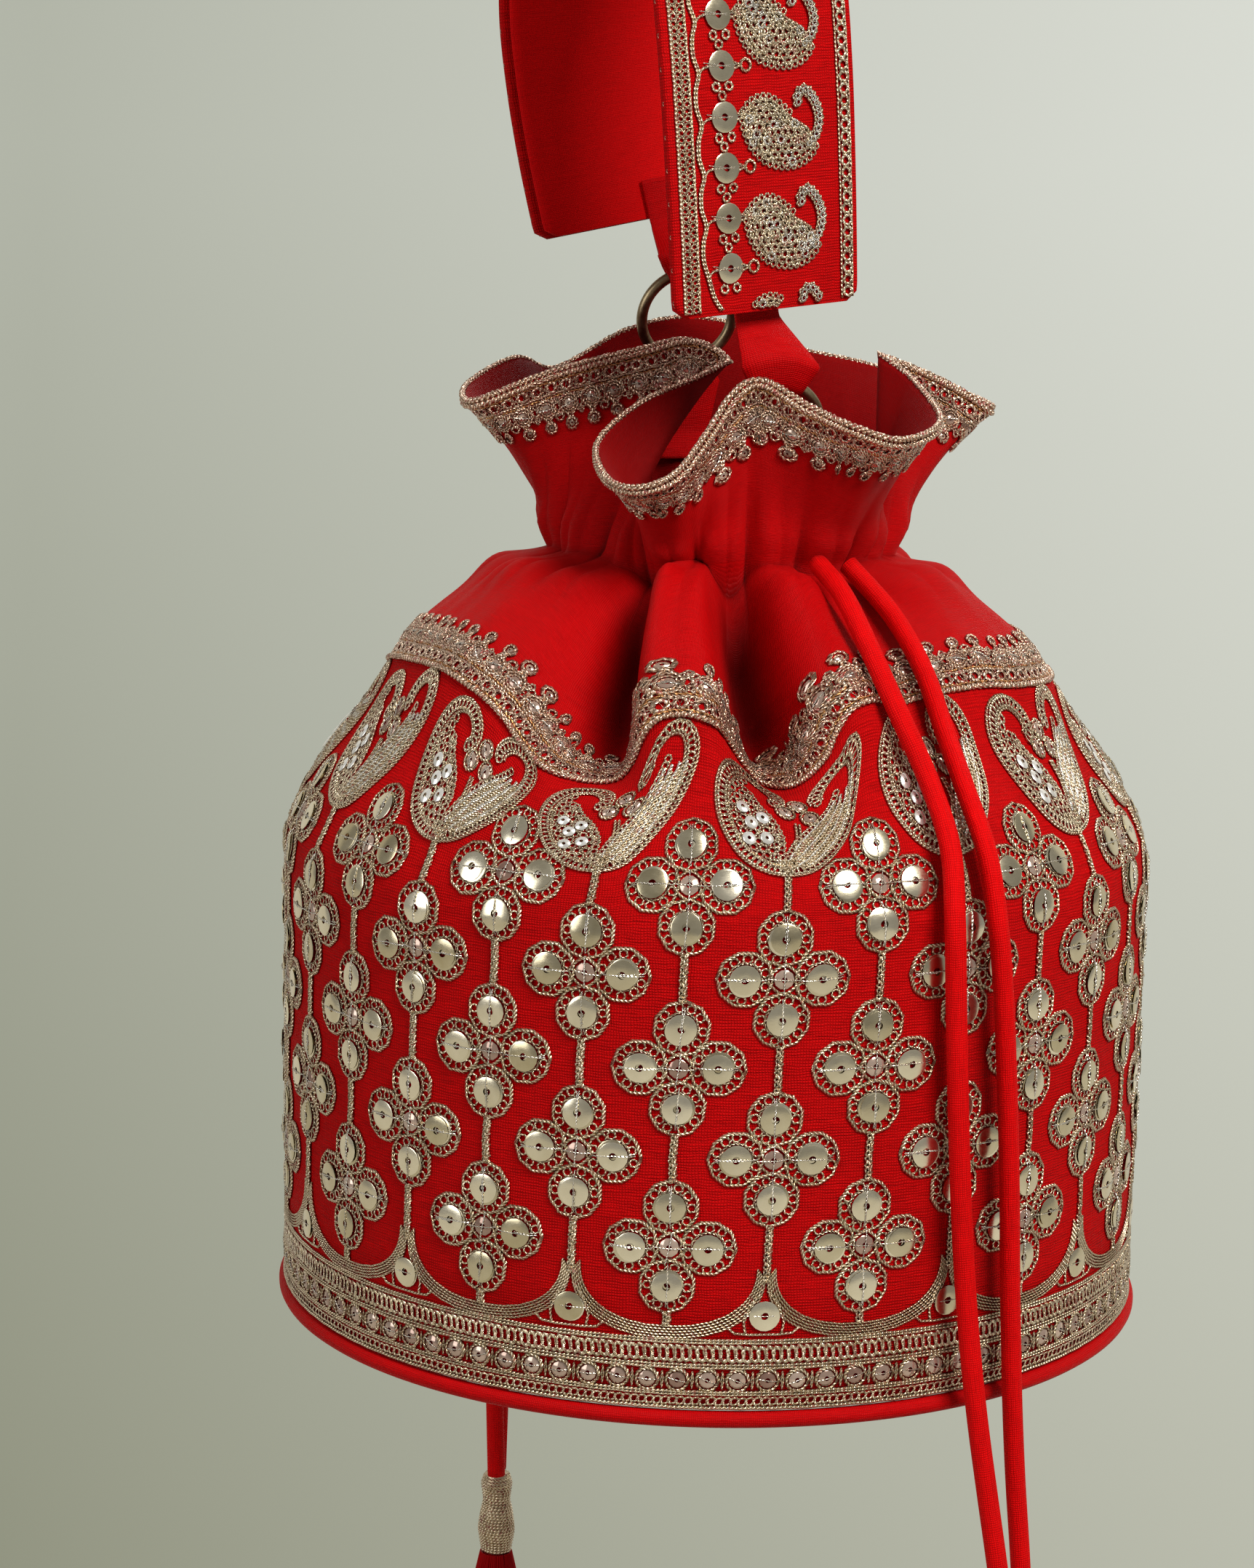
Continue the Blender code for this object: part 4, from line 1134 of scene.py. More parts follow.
@dataclass
class BodyPanel:
    """The embroidered raw silk: a stiff straight wall and the lower, folded shoulder."""

    thickness: float = 2.0 * MM
    columns: int = 300
    wall_rows: int = 5
    shoulder_rows: int = 26

    def build(self) -> None:
        """The panel."""
        angle = np.linspace(-180, 180, self.columns + 1)
        runs = [np.full(self.columns, run) for run in np.linspace(0, FORM.wall, self.wall_rows)]
        seam = FORM.seam(angle[:-1]) * FORM.shoulder_length
        runs += [FORM.wall + seam * share for share in np.linspace(0, 1, self.shoulder_rows + 1)[1:]]
        grid = np.stack([FORM.cloth(angle[:-1], run) for run in runs])
        # Painted shade: none on the wall, growing up the shoulder to the fold shade at the seam.
        above = [np.zeros(self.columns)] * self.wall_rows
        above += [share**3 * FORM.hollow(angle[:-1], np.zeros(self.columns))
                  for share in np.linspace(0, 1, self.shoulder_rows + 1)[1:]]
        piece = round_cloth("body_panel_silk", grid, self.thickness, angle * math.radians(1) * FORM.radius / MM,
                            np.array([float(np.mean(run)) for run in runs]) / MM, np.array(above))
        settle(piece, RAW_SILK, Body.BAG, "raw_silk_red", "body_panel")


@dataclass
class Yoke:
    """The plain silk above the seam: gathered shoulder, pleated neck and ruffled mouth."""

    thickness: float = 0.9 * MM
    columns: int = 480
    shoulder_rows: int = 28
    ruffle_rows: int = 22
    samples: int = 2881
    height: float = 118.0 * MM

    def build(self) -> None:
        """The yoke."""
        fine = np.linspace(-180, 180, self.samples)
        edge = FORM.mouth_edge(fine)
        cost = np.linalg.norm(np.diff(edge, axis=0), axis=1) / (4 * MM) + np.diff(fine)
        run = np.concatenate([[0], np.cumsum(cost)])
        angle = np.interp(np.arange(self.columns) * run[-1] / self.columns, run, fine)
        shares = np.concatenate([np.linspace(0, 1, self.shoulder_rows + 1),
                                 1 + np.linspace(0, 1, self.ruffle_rows + 1)[1:]])
        grid = np.stack([FORM.yoke(angle, share) for share in shares])
        across = np.append(angle, 180.0) * math.radians(1) * FORM.radius / MM
        # Painted shade for the yoke's folds, pleat creases and neck.
        hollow = np.stack([FORM.hollow(angle, np.full(self.columns, share)) for share in shares])
        piece = round_cloth("yoke_silk", grid, self.thickness, across, shares * self.height / 2 / MM, hollow)
        settle(piece, SMOOTH_SILK, Body.BAG, "silk_red", "yoke")


@dataclass
class Base:
    """The cloth base, the board on it and the corded edge round it."""

    cloth: float = 1.2 * MM
    piping: float = 3.8 * MM

    def build(self) -> None:
        """The base's pieces, and the board's material."""
        inner = FORM.radius * math.cos(math.radians(4)) - 2.3 * MM
        reach = np.linspace(0, inner, 9)
        rings = [(r, 0.0) for r in reach] + [(r, self.cloth) for r in np.linspace(inner, 0, 9)]
        disc_piece = turned("base_cloth", rings, 96, BAG_PLACE * 0)
        settle(disc_piece, RAW_SILK, Body.BAG, "raw_silk_red", "base_panel")
        t = np.radians(np.arange(0, 360, 1.5))
        path = about_axis(FORM.radius, t, -0.3 * MM - self.piping / 2)
        edge = tube("base_piping_cord", path, self.piping / 2 * 0.97, 14, True)
        settle(edge, SMOOTH_SILK, Body.BAG, "silk_red", "base_piping")
        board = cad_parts["base_board"].data.materials
        board.clear()
        board.append(dressed(Board()))


# Strap, rings and tabs


def neck_point(point: Sequence[float]) -> Points:
    """A place given in mm from the middle of the neck."""
    return np.array(point, float) * MM + (0, 0, FORM.neck_height)


@dataclass
class Hardware:
    """Both rings, and the silk tabs that run through them."""

    diameter: float = 25.0 * MM
    wire: float = 2.6 * MM
    tab_width: float = 12.0 * MM
    tab_thickness: float = 1.0 * MM
    clearance: float = 0.3 * MM
    cloth: float = 1.2 * MM
    gap: float = 0.5 * MM
    samples: int = 46
    near: tuple = (10.4, -30, 30.7)
    far: tuple = (-9.4, 34, 51.6)

    def __post_init__(self) -> None:
        """Works out the line through both rings."""
        self.axis = unit(neck_point(self.far) - neck_point(self.near))
        self.across = unit(np.cross(self.axis, (0, 0, 1)))
        self.up = np.cross(self.across, self.axis)

    def ring(self, name: str, centre: Points, body: Body) -> Piece:
        """One ring of round wire, with the joint of its ends at the top."""
        t = np.radians(np.arange(0, 360, 4.0))
        reach = (self.diameter - self.wire) / 2
        path = centre + reach * (np.outer(np.cos(t), self.up) + np.outer(np.sin(t), self.across))
        radius = self.wire / 2 * (1 - 0.05 * np.exp(-((np.arange(len(t)) - 37) / 0.9) ** 2))
        piece = tube(f"{name}_brass", path, radius, 18, True)
        return settle(piece, AgedBrass(), body, "antique_brass", name)

    def loop(self, name: str, rows: Points, body: Body) -> Piece:
        """One tab: a doubled strip of silk from its rows of three points, with rounded, sewn edges."""
        middle = rows[:, 1]
        half = (rows[:, 2] - rows[:, 0]) / 2
        run = run_along(middle)
        fine = np.linspace(0, run[-1], self.samples)
        middle = softened(sampled(fine, run, middle), 2)
        half = sampled(fine, run, half)
        bow = rows[:, 1] - (rows[:, 0] + rows[:, 2]) / 2
        bow = sampled(fine, run, bow)
        along = unit(np.gradient(middle, axis=0))
        out = unit(np.cross(half, along))
        thick = self.tab_thickness / 2
        edge = [(-1, 0), (-0.97, 0.8), (-0.8, 1), (-0.4, 0.9), (0, 0.92), (0.4, 0.9), (0.8, 1), (0.97, 0.8)]
        outline = edge + [(-x, -y) for x, y in edge]
        count = len(outline)
        points = [m + h * x + o * y * thick - b * x * x for m, h, o, b in zip(middle, half, out, bow)
                  for x, y in outline]
        wide = self.tab_width / MM / 2
        faces, uv = grid_faces(len(middle), count, [x * wide for x, _ in (*outline, outline[0])], fine / MM)
        faces += end_faces(len(middle), count)
        uv += [(0, 0)] * (2 * count)
        piece = mesh_piece(f"{name}_silk", np.array(points), faces, np.array(uv))
        outward(piece)
        return settle(piece, SMOOTH_SILK, body, "silk_red", name)

    def rows(self, centre: Points, side: int, tail: Sequence[Points], tail_across: Points) -> Points:
        """Rows across a tab that passes through a ring and runs on to its last tail point."""
        reach = (self.diameter - self.wire) / 2
        bend = self.wire / 2 + self.clearance + self.tab_thickness / 2
        spread = self.tab_width / 2 / reach
        path = [(-bend + self.tab_thickness + 0.45 * MM, reach + 3.2 * bend), (bend, reach + 1.2 * bend)]
        path += [(bend * math.cos(t), reach - bend * math.sin(t)) for t in np.radians(np.arange(0, 181, 15))]
        path += [(-bend, reach + 1.2 * bend), (-bend, reach + 3.2 * bend)]
        rows = []
        for n, rho in path:
            rows.append([centre + n * self.axis
                         + rho * (side * self.up * math.cos(a) + self.across * math.sin(a))
                         for a in np.linspace(-spread, spread, 3)])
        for at in tail:
            rows.append([at + tail_across * w for w in np.linspace(-self.tab_width / 2, self.tab_width / 2, 3)])
        return np.array(rows)

    def seat(self, angle: float, share: float) -> Points:
        """The middle of a tab sewn inside the ruffle, clear of the pleats that it spans."""
        spread = math.degrees(self.tab_width / 2 / FORM.neck)
        wall = FORM.ruffle(angle + np.linspace(-spread, spread, 7), share)
        depth = min(wall @ radial(angle)) - self.cloth - self.gap - self.tab_thickness / 2
        return radial(angle) * depth + (0, 0, wall[3][2])

    def build(self, strap: "Strap") -> None:
        """Both rings and all four tabs."""
        behind = strap.thickness / 2 + self.gap + strap.lining + self.clearance + self.tab_thickness / 2
        line, across, out = strap.ends()
        for name, centre, end, shift, (angle, shares), body in (
                ("near", self.near, 0, 0.0, (15.0, (0.2, 0.1)), Body.RING_NEAR),
                ("far", self.far, -1, 9.0 * MM, (194.0, (0.42, 0.3)), Body.RING_FAR)):
            middle = neck_point(centre)
            self.ring(f"ring_{name}", middle, body)
            foot = line[end] - out[end] * behind + across[end] * shift
            up = unit(line[1] - line[0] if end == 0 else line[-2] - line[-1])
            tail = [foot - up * 2.25 * MM, foot + up * 9.0 * MM]
            self.loop(f"strap_tab_{name}", self.rows(middle, 1, tail, across[end]), Body.STRAP)
            away = radial(angle)
            sideways = np.array((-away[1], away[0], 0)) * (1 if end == 0 else -1)
            seats = [self.seat(angle, share) for share in shares]
            self.loop(f"ring_tab_{name}", self.rows(middle, -1, seats, sideways), Body.BAG)


@dataclass
class Strap:
    """The wide hand strap: a stiffened band of raw silk, its plain lining and its thread work."""

    width: float = 50.0 * MM
    thickness: float = 2.6 * MM
    lining: float = 1.0 * MM
    steps: int = 18
    route: tuple = (
        (8.6, -37, 57.5), (6.8, -38.5, 90), (4, -38, 123.5), (-1, -32, 155), (-8, -19, 180), (-16, 0, 191),
        (-23, 18, 183), (-29, 31, 160), (-32, 37.5, 126), (-28.5, 38.5, 98), (-23, 37, 73.5))
    turn_near: float = 37.0
    turn_far: float = 23.0

    def framed(self, line: Points, turn: Points) -> tuple[Points, Points, Points]:
        """A middle line with its direction across and its outward direction at each point."""
        along = unit(np.gradient(line, axis=0))
        across = points_of(np.cos(turn), np.sin(turn), 0.0)
        across = unit(across - along * np.sum(across * along, axis=1, keepdims=True))
        return line, across, np.cross(across, along)

    def ends(self) -> tuple[Points, Points, Points]:
        """The CAD band's own coarse frame, which its tabs hang from."""
        line = np.array([neck_point(p) for p in through(self.route, self.steps)])
        return self.framed(line, np.radians(np.linspace(self.turn_near, self.turn_far, self.steps)))

    def fine(self, count: int = 240) -> tuple[Points, Points, Points, Points]:
        """Its frame at many points, with the run along it in mm."""
        line, _, _ = self.ends()
        line = through(line, count)
        turn = np.radians(np.linspace(self.turn_near, self.turn_far, count))
        run = run_along(line) / MM
        return (*self.framed(line, turn), run)

    def lay(self, flat: Points) -> Points:
        """Flat points in mm (run along the strap, across it, height over its face) in the bag's frame."""
        *axes, run = self.fine()
        line, across, out = (sampled(flat[:, 0], run, values) for values in axes)
        return line + across * flat[:, 1:2] * MM + out * (flat[:, 2:3] * MM + self.thickness / 2)

    def strip(self, name: str, section: Sequence[tuple[float, float]], finish: Any, slot: str, node: str
              ) -> Piece:
        """A strip along the whole strap with a closed section, in metres across and out."""
        line, across, out, run = self.fine(150)
        count = len(section)
        rows = np.array([[at + side * w + away * h for w, h in section]
                         for at, side, away in zip(line, across, out)])
        middle = rows.mean(axis=1, keepdims=True)
        corner = 3.0
        for k in range(len(rows)):
            near_end = min(run[k], run[-1] - run[k])
            if near_end < corner:
                cut = corner - math.sqrt(max(corner**2 - (corner - near_end) ** 2, 0.0))
                scale = 1 - cut * MM / (self.width / 2)
                flat = (rows[k] - middle[k]) @ across[k]
                rows[k] = rows[k] - np.outer(flat * (1 - scale), across[k])
        edge = run_along(np.array([*section, section[0]])) / MM
        faces, uv = grid_faces(len(rows), count, edge, run)
        faces += end_faces(len(rows), count)
        uv += [(edge[j], 0) for j in range(count)] * 2
        piece = mesh_piece(name, rows.reshape(-1, 3), faces, np.array(uv))
        outward(piece)
        piece.data.set_sharp_from_angle(angle=math.radians(60))
        return settle(piece, finish, Body.STRAP, slot, node)

    def build(self) -> None:
        """The band and its lining."""
        half = self.width / 2
        face = self.thickness / 2
        soft = 0.8 * MM
        band = []
        for w0, h0, start in ((half, face, 0), (-half, face, 90), (-half, -face, 180), (half, -face, 270)):
            for a in np.radians(np.arange(start, start + 91, 30)):
                band.append((w0 - math.copysign(soft, w0) + soft * math.cos(a),
                             h0 - math.copysign(soft, h0) + soft * math.sin(a)))
            if start in (0, 180):
                across = np.linspace(0.8, -0.8, 9) if start == 0 else np.linspace(-0.8, 0.8, 9)
                side = face if start == 0 else -face
                band += [(half * w, side * (1 - 0.06 * math.cos(9 * w) ** 2)) for w in across]
        self.strip("strap_band_silk", band, RAW_SILK, "raw_silk_red", "strap_band")
        back = -face - 0.5 * MM
        inset = half - 1.5 * MM
        thin = self.lining
        lining = [(inset, back - thin * 0.5), (inset - 0.5 * MM, back)]
        lining += [(w * inset, back) for w in np.linspace(0.9, -0.9, 9)]
        lining += [(-inset + 0.5 * MM, back), (-inset, back - thin * 0.5), (-inset + 0.5 * MM, back - thin)]
        lining += [(w * inset, back - thin * (0.9 + 0.1 * math.cos(7 * w))) for w in np.linspace(-0.9, 0.9, 9)]
        lining += [(inset - 0.5 * MM, back - thin)]
        self.strip("strap_lining_silk", lining, LINING_SILK_PAINTED_LIGHT, "silk_red", "strap_lining")


# Drawstrings and tassels


@dataclass
class Drawstrings:
    """Two drawstrings of bias-cut silk: four free strands, two tassels and the part inside the neck."""

    diameter: float = 4.8 * MM
    cap_length: float = 22.0 * MM
    cap_radius: float = 4.2 * MM
    skirt_length: float = 42.0 * MM
    skirt_radius: float = 7.5 * MM
    right_a: tuple = (
        (21.5, -41, 174.6), (24.4, -51, 172.1), (27.4, -57, 168.6), (32.4, -67.1, 159.4), (37.7, -72.8, 148.8),
        (42.8, -76, 138.1), (47.5, -82, 128.3), (50, -88, 118.5), (50.8, -92.6, 106), (51.8, -92, 86),
        (53.6, -91.5, 54), (55.4, -91.2, 30), (58, -91, 6), (61, -90.5, -14), (65, -90, -38), (68.5, -89.5, -62),
        (70, -89.2, -84))
    right_b: tuple = (
        (28, -38.5, 174.4), (31, -40, 172.1), (34, -42, 169.5), (38.4, -46, 163.5), (43, -52, 156.8),
        (46.5, -58.5, 148.7), (49.6, -65.5, 140.2), (52.8, -74.3, 132.1), (56.2, -80.4, 123.6), (59, -85.4, 113.5),
        (60.8, -87, 100), (62.3, -86, 86), (64.7, -84.5, 52), (66.2, -83.5, 20), (68.2, -83, -13), (71, -83, -44),
        (72.4, -84, -66), (72.6, -84.6, -84))
    left_a: tuple = (
        (-26, 38.4, 174), (-31, 48, 168.8), (-35.1, 56.4, 161), (-39.9, 64.2, 151.6), (-44.2, 71, 142),
        (-48.6, 77.6, 134), (-51.8, 82.7, 125), (-54.5, 87.3, 115.5), (-56, 89.7, 104), (-56.4, 90.1, 60),
        (-56.6, 90.2, 20), (-56.6, 90, -20), (-56, 89.6, -56), (-55, 89.4, -90))
    left_b: tuple = (
        (-20, 43, 173.6), (-25, 50.2, 166.8), (-29.6, 57.6, 158.6), (-33.4, 65, 150), (-37.6, 73, 141.4),
        (-42.2, 81.6, 134.4), (-45.2, 86.9, 125.4), (-47.5, 90.9, 115.6), (-49.2, 93.4, 104), (-50, 94, 60),
        (-51.2, 94.6, 20), (-52.8, 94.8, -20), (-54.2, 94.8, -56), (-55, 94.6, -90))

    def strand(self, name: str, route: Sequence) -> tuple[Piece, Points, float]:
        """One free strand: the tube, its path in the row frame and its length."""
        coarse = through(route, 19) * MM
        path = through(coarse, 110)
        piece = tube(f"{name}_silk", path, self.diameter / 2 * 0.98, 16, squash=0.94)
        settle(piece, CORD_SILK, Body.BAG, "silk_red", name)
        length = float(np.linalg.norm(np.diff(path, axis=0), axis=1).sum())
        return piece, path + BAG_PLACE, length

    def cap(self, side: str, end: Points) -> Piece:
        """The gold-wrapped head of a tassel, wound in close turns."""
        shape = ((0, 0), (0.75, 0), (0.95, -0.12), (0.8, -0.34), (1.0, -0.5), (1.15, -0.72), (0.9, -1.0), (0, -1.0))
        outline = np.array([(r * self.cap_radius, z * self.cap_length) for r, z in shape])
        body = np.array(outline[1:-1])
        run = np.linspace(0, len(body) - 1, 64)
        fine = softened(sampled(run, np.arange(len(body)), body), 3)
        fine[1:-1, 0] += 0.16 * MM * np.sin(np.arange(1, 63) * math.pi)
        profile = [(0, 0.0), *fine.tolist(), (0, -self.cap_length)]
        core = turned(f"tassel_cap_{side}_core", profile, 24, end)
        turns = 26
        t = np.linspace(0, turns * 2 * math.pi, turns * 12)
        height = np.linspace(-0.4 * MM, -self.cap_length + 0.4 * MM, len(t))
        radius = np.interp(-height, -fine[:, 1], fine[:, 0]) + 0.05 * MM
        path = points_of(radius * np.cos(t), radius * np.sin(t), height) + end
        wire = THREADS.run("wound", flat_lines([(path / MM, 0.36, False)]), Sides=5, Material=dressed(GOLD))
        wound = draped("wound", [wire], lambda flat: flat * MM)
        core.data.materials.append(dressed(GOLD))
        whole = joined(f"tassel_cap_{side}_gold", [core.data, wound.data])
        for old in (core, wound):
            bpy.data.objects.remove(old)
        made = placed(f"tassel_cap_{side}_gold", whole)
        return settle(made, None, Body.BAG, "gold_thread", f"tassel_cap_{side}")

    def skirt(self, side: str, end: Points, seed: int) -> Piece:
        """The hanging threads of a tassel."""
        rng = np.random.default_rng(seed)
        top = -self.cap_length - 0.3 * MM
        lines = []
        for ring_share, count in ((0.96, 54), (0.72, 34), (0.42, 18)):
            for k in range(count):
                turn = 2 * math.pi * (k + rng.uniform(-0.3, 0.3)) / count
                s = np.linspace(0, 1, 8)
                spread = np.interp(s, (0, 0.2, 0.6, 1), (0.55, 0.8, 0.94, 0.97)) * ring_share
                sway = rng.uniform(-0.12, 0.12) * s + 0.03 * np.sin(9 * s + rng.uniform(0, 6))
                radius = self.skirt_radius * spread
                length = self.skirt_length * rng.uniform(0.955, 0.995)
                path = points_of(radius * np.cos(turn + sway), radius * np.sin(turn + sway), top - s * length)
                lines.append(((path + end) / MM, 0.42, False))
        threads = THREADS.run("threads", flat_lines(lines), Sides=4, Material=dressed(TASSEL_SILK))
        made = draped(f"tassel_skirt_{side}_threads", [threads], lambda flat: flat * MM)
        return settle(made, None, Body.BAG, "silk_red", f"tassel_skirt_{side}")

    def build(self) -> None:
        """Strands, tassels and the cord in the neck."""
        for side, routes in (("right", (self.right_a, self.right_b)), ("left", (self.left_a, self.left_b))):
            end = np.mean([route[-1] for route in routes], axis=0) * MM - (0, 0, 0.3 * MM)
            pieces = [self.cap(side, end), self.skirt(side, end, 5 if side == "right" else 9)]
            for letter, route in zip("ab", routes):
                piece, path, length = self.strand(f"drawstring_{side}_{letter}", route)
        radius = FORM.neck - FORM.pleat_depth - 1.2 * MM - self.diameter / 2 - 0.6 * MM
        t = np.radians(np.arange(0, 360, 4.0))
        path = about_axis(radius, t, FORM.neck_height)
        hidden = tube("drawcord_in_neck_silk", path, self.diameter / 2 * 0.97, 12, True)
        settle(hidden, SMOOTH_SILK, Body.BAG, "silk_red", "drawcord_in_neck")


# Gold work on the wall


def circle(x: float, y: float, radius: float, count: int) -> Points:
    """Points on a flat circle in mm."""
    t = np.radians(np.linspace(0, 360, count, endpoint=False))
    return points_of(x + radius * np.cos(t), y + radius * np.sin(t))


def raised(path: Points, height: float) -> Points:
    """A flat path in mm at one height over the cloth."""
    return np.column_stack([path, np.full(len(path), height)])


def turned_about(path: Points, angle: float, x: float = 0.0, y: float = 0.0) -> Points:
    """A flat path turned by an angle in radians and then moved."""
    path = np.asarray(path, float)
    made = path.copy()
    made[:, 0] = path[:, 0] * math.cos(angle) - path[:, 1] * math.sin(angle) + x
    made[:, 1] = path[:, 0] * math.sin(angle) + path[:, 1] * math.cos(angle) + y
    return made


def stitch_kit() -> Kit:
    """The stamps: loops of thread and sequins, in mm."""
    return {
        "loop": hoop("stamp_loop", 0.93, 0.24, 7, 3),
        "link": hoop("stamp_link", 0.8, 0.25, 7, 3),
        "eyelet": hoop("stamp_eyelet", 0.92, 0.32, 7, 3),
        "sequin": disc("stamp_sequin", 3.25, 0.85, 17, 0.14, 0.0),
        "spangle": disc("stamp_spangle", 1.0, 0.3, 10, 0.1, -0.1),
    }


def braid(work: Stitcher, path: Points, width: float = 0.72, pitch: float = 3.8, radius: float = 0.42) -> None:
    """Three strands plaited along a flat path in mm."""
    path = np.asarray(path, float)
    run = run_along(path)
    count = max(6, int(run[-1] / pitch * 5))
    fine = np.linspace(0, run[-1], count)
    middle = sampled(fine, run, path)
    along = unit(np.gradient(middle, axis=0))
    side = points_of(-along[:, 1], along[:, 0])
    for strand in range(3):
        phase = 2 * math.pi * (fine / pitch + strand / 3)
        place = middle + side * (width * np.sin(phase))[:, None]
        work.line(np.column_stack([place, 0.5 + 0.22 * np.cos(2 * phase)]), radius, GOLD)


def chain(work: Stitcher, path: Points, pitch: float, length: float, width: float,
          finish: Any, height: float = 0.3, kind: str = "link", lean: float = 0.0) -> None:
    """Links of thread one after another along a flat path in mm."""
    path = np.asarray(path, float)
    run = run_along(path)
    count = max(1, int(round(run[-1] / pitch)))
    fine = (np.arange(count) + 0.5) * run[-1] / count
    middle = sampled(fine, run, path)
    along = sampled(fine, run, np.gradient(path, run, axis=0))
    for (x, y), (dx, dy) in zip(middle, along):
        work.stamp(kind, finish, x, y, height, math.atan2(dy, dx) + lean, length, width)


@dataclass
class WallWork:
    """The net of flowers on stems, and the hem under it, in columns that lean a little."""

    repeats: int = 15
    first: float = -3.8
    pitch: float = 39.1
    low_flower: float = 35.8
    petal_side: float = 8.15
    petal_tall: float = 8.8
    petal: float = 5.4
    seed: int = 11

    def __post_init__(self) -> None:
        """Works out the width of half a repeat in mm."""
        self.half = math.pi * FORM.radius / MM / self.repeats

    def lay(self, flat: Points) -> Points:
        """Flat points in mm on the wall or the shoulder."""
        slant = FORM.lean * (flat[:, 1] * MM - FORM.upright)
        angle = self.first + np.degrees(flat[:, 0] * MM / FORM.radius) + slant
        return FORM.cloth(angle, flat[:, 1] * MM, flat[:, 2] * MM)

    def flower(self, work: Stitcher, x: float, y: float, rng: Draws) -> None:
        """Four petals of loops round sequins, and a clear sequin in a ring of thread between them."""
        for k, reach in enumerate((self.petal_side, self.petal_tall, self.petal_side, self.petal_tall)):
            turn = k * math.pi / 2 + rng.normal(0, 0.03)
            cx = x + reach * math.cos(k * math.pi / 2) + rng.normal(0, 0.14)
            cy = y + reach * math.sin(k * math.pi / 2) + rng.normal(0, 0.14)
            t = turn + np.arange(30) * 2 * math.pi / 30
            scallop = 5.42 + 0.42 * np.abs(np.cos(5 * (t - turn))) + rng.normal(0, 0.05, 30)
            work.line(points_of(cx + scallop * np.cos(t), cy + scallop * np.sin(t), 0.36), 0.44, GOLD, True)
            work.line(circle(cx, cy, 3.55, 11), 0.3, GOLD, True)
            for j in range(10):
                a = turn + (j + 0.5) * 2 * math.pi / 10 + rng.normal(0, 0.05)
                reach_out = 4.45 + rng.normal(0, 0.1)
                work.stamp("loop", GOLD, cx + reach_out * math.cos(a), cy + reach_out * math.sin(a),
                           0.36, a, rng.uniform(0.95, 1.12), rng.uniform(0.9, 1.08))
            a = rng.uniform(0, 2 * math.pi)
            work.stamp("sequin", PALE_SEQUIN, cx + 0.55 * math.cos(a), cy + 0.55 * math.sin(a), 0.72)
            work.stamp("sequin", PALE_SEQUIN, cx, cy, 1.02)
            s = np.array([-4.7, -3.4, -1.2, -0.2, 0.2, 1.2, 3.4, 4.7])
            height = np.array([0.4, 1.1, 1.34, 1.15, 1.15, 1.34, 1.1, 0.4])
            bow = rng.normal(0, 0.12)
            path = points_of(s, bow * np.cos(s / 3), height)
            work.line(turned_about(path, turn, cx, cy), 0.18, SILVER)
            path = np.array([(-0.2, 0.3, 1.2), (1.4, 0.16, 1.32), (4.6, 0.5, 0.5)])
            work.line(turned_about(path, turn, cx, cy), 0.14, SILVER)
        t = np.arange(16) * 2 * math.pi / 16
        waist = 1 - 0.16 * np.abs(np.sin(2 * t))
        work.line(points_of(x + 3.5 * np.cos(t) * waist, y + 3.2 * np.sin(t) * waist), 0.42, GOLD, True)
        work.stamp("spangle", CLEAR_SEQUIN, x, y, 0.7, 0.0, 2.15)
        for turn in (0.0, math.pi / 2):
            path = np.array([(-3.4, 0.1, 0.7), (-1.2, 0, 1.1), (1.2, -0.1, 1.1), (3.4, 0, 0.7)])
            work.line(turned_about(path, turn + rng.normal(0, 0.08), x, y), 0.16, SILVER)

    def hem(self, work: Stitcher, rng: Draws) -> None:
        """The rows along the hem, from the piping up."""
        span = self.half * 2 * self.repeats
        xs = np.linspace(-span / 2, span / 2, 261)

        def cord(y: float, radius: float, finish: Any = GOLD) -> None:
            """A couched cord all the way round."""
            work.line(points_of(xs, y + 0.07 * np.sin(xs * 0.9 + y * 5), radius), radius, finish, sides=4)

        def row(pitch: float) -> Points:
            """Places along a row."""
            count = round(span / pitch)
            return -span / 2 + (np.arange(count) + 0.5) * span / count

        for y, radius in ((0.45, 0.42), (3.35, 0.3), (3.95, 0.34), (9.35, 0.36), (10.0, 0.3), (14.9, 0.34),
                          (15.5, 0.3)):
            cord(y, radius)
        for x in row(1.65):
            work.stamp("link", GOLD, x, 1.95 + rng.normal(0, 0.05), 0.34, 0.5, 1.25, 1.0)
        for x in row(6.4):
            y = 6.65 + rng.normal(0, 0.08)
            work.line(circle(x, y, 2.35, 12), 0.43, GOLD, True)
            work.stamp("spangle", CLEAR_SEQUIN, x, y, 0.5, rng.uniform(0, 6), 1.85)
            a = rng.uniform(-0.5, 0.5)
            stitch = np.array([(-2.4, 0, 0.4), (-0.9, 0, 0.85), (0.9, 0, 0.85), (2.4, 0, 0.4)])
            work.line(turned_about(stitch, a, x, y), 0.17, SILVER)
            for up in (3.2, -3.2):
                work.line([(x + up, y + 1.9, 0.3), (x + up * 0.93, y, 0.34), (x + up, y - 1.9, 0.3)], 0.22, GOLD)
        for number, x in enumerate(row(1.62)):
            work.stamp("link", GOLD, x, 12.45 + rng.normal(0, 0.07), 0.3 + 0.12 * (number % 2), 0.18, 1.3, 2.15)

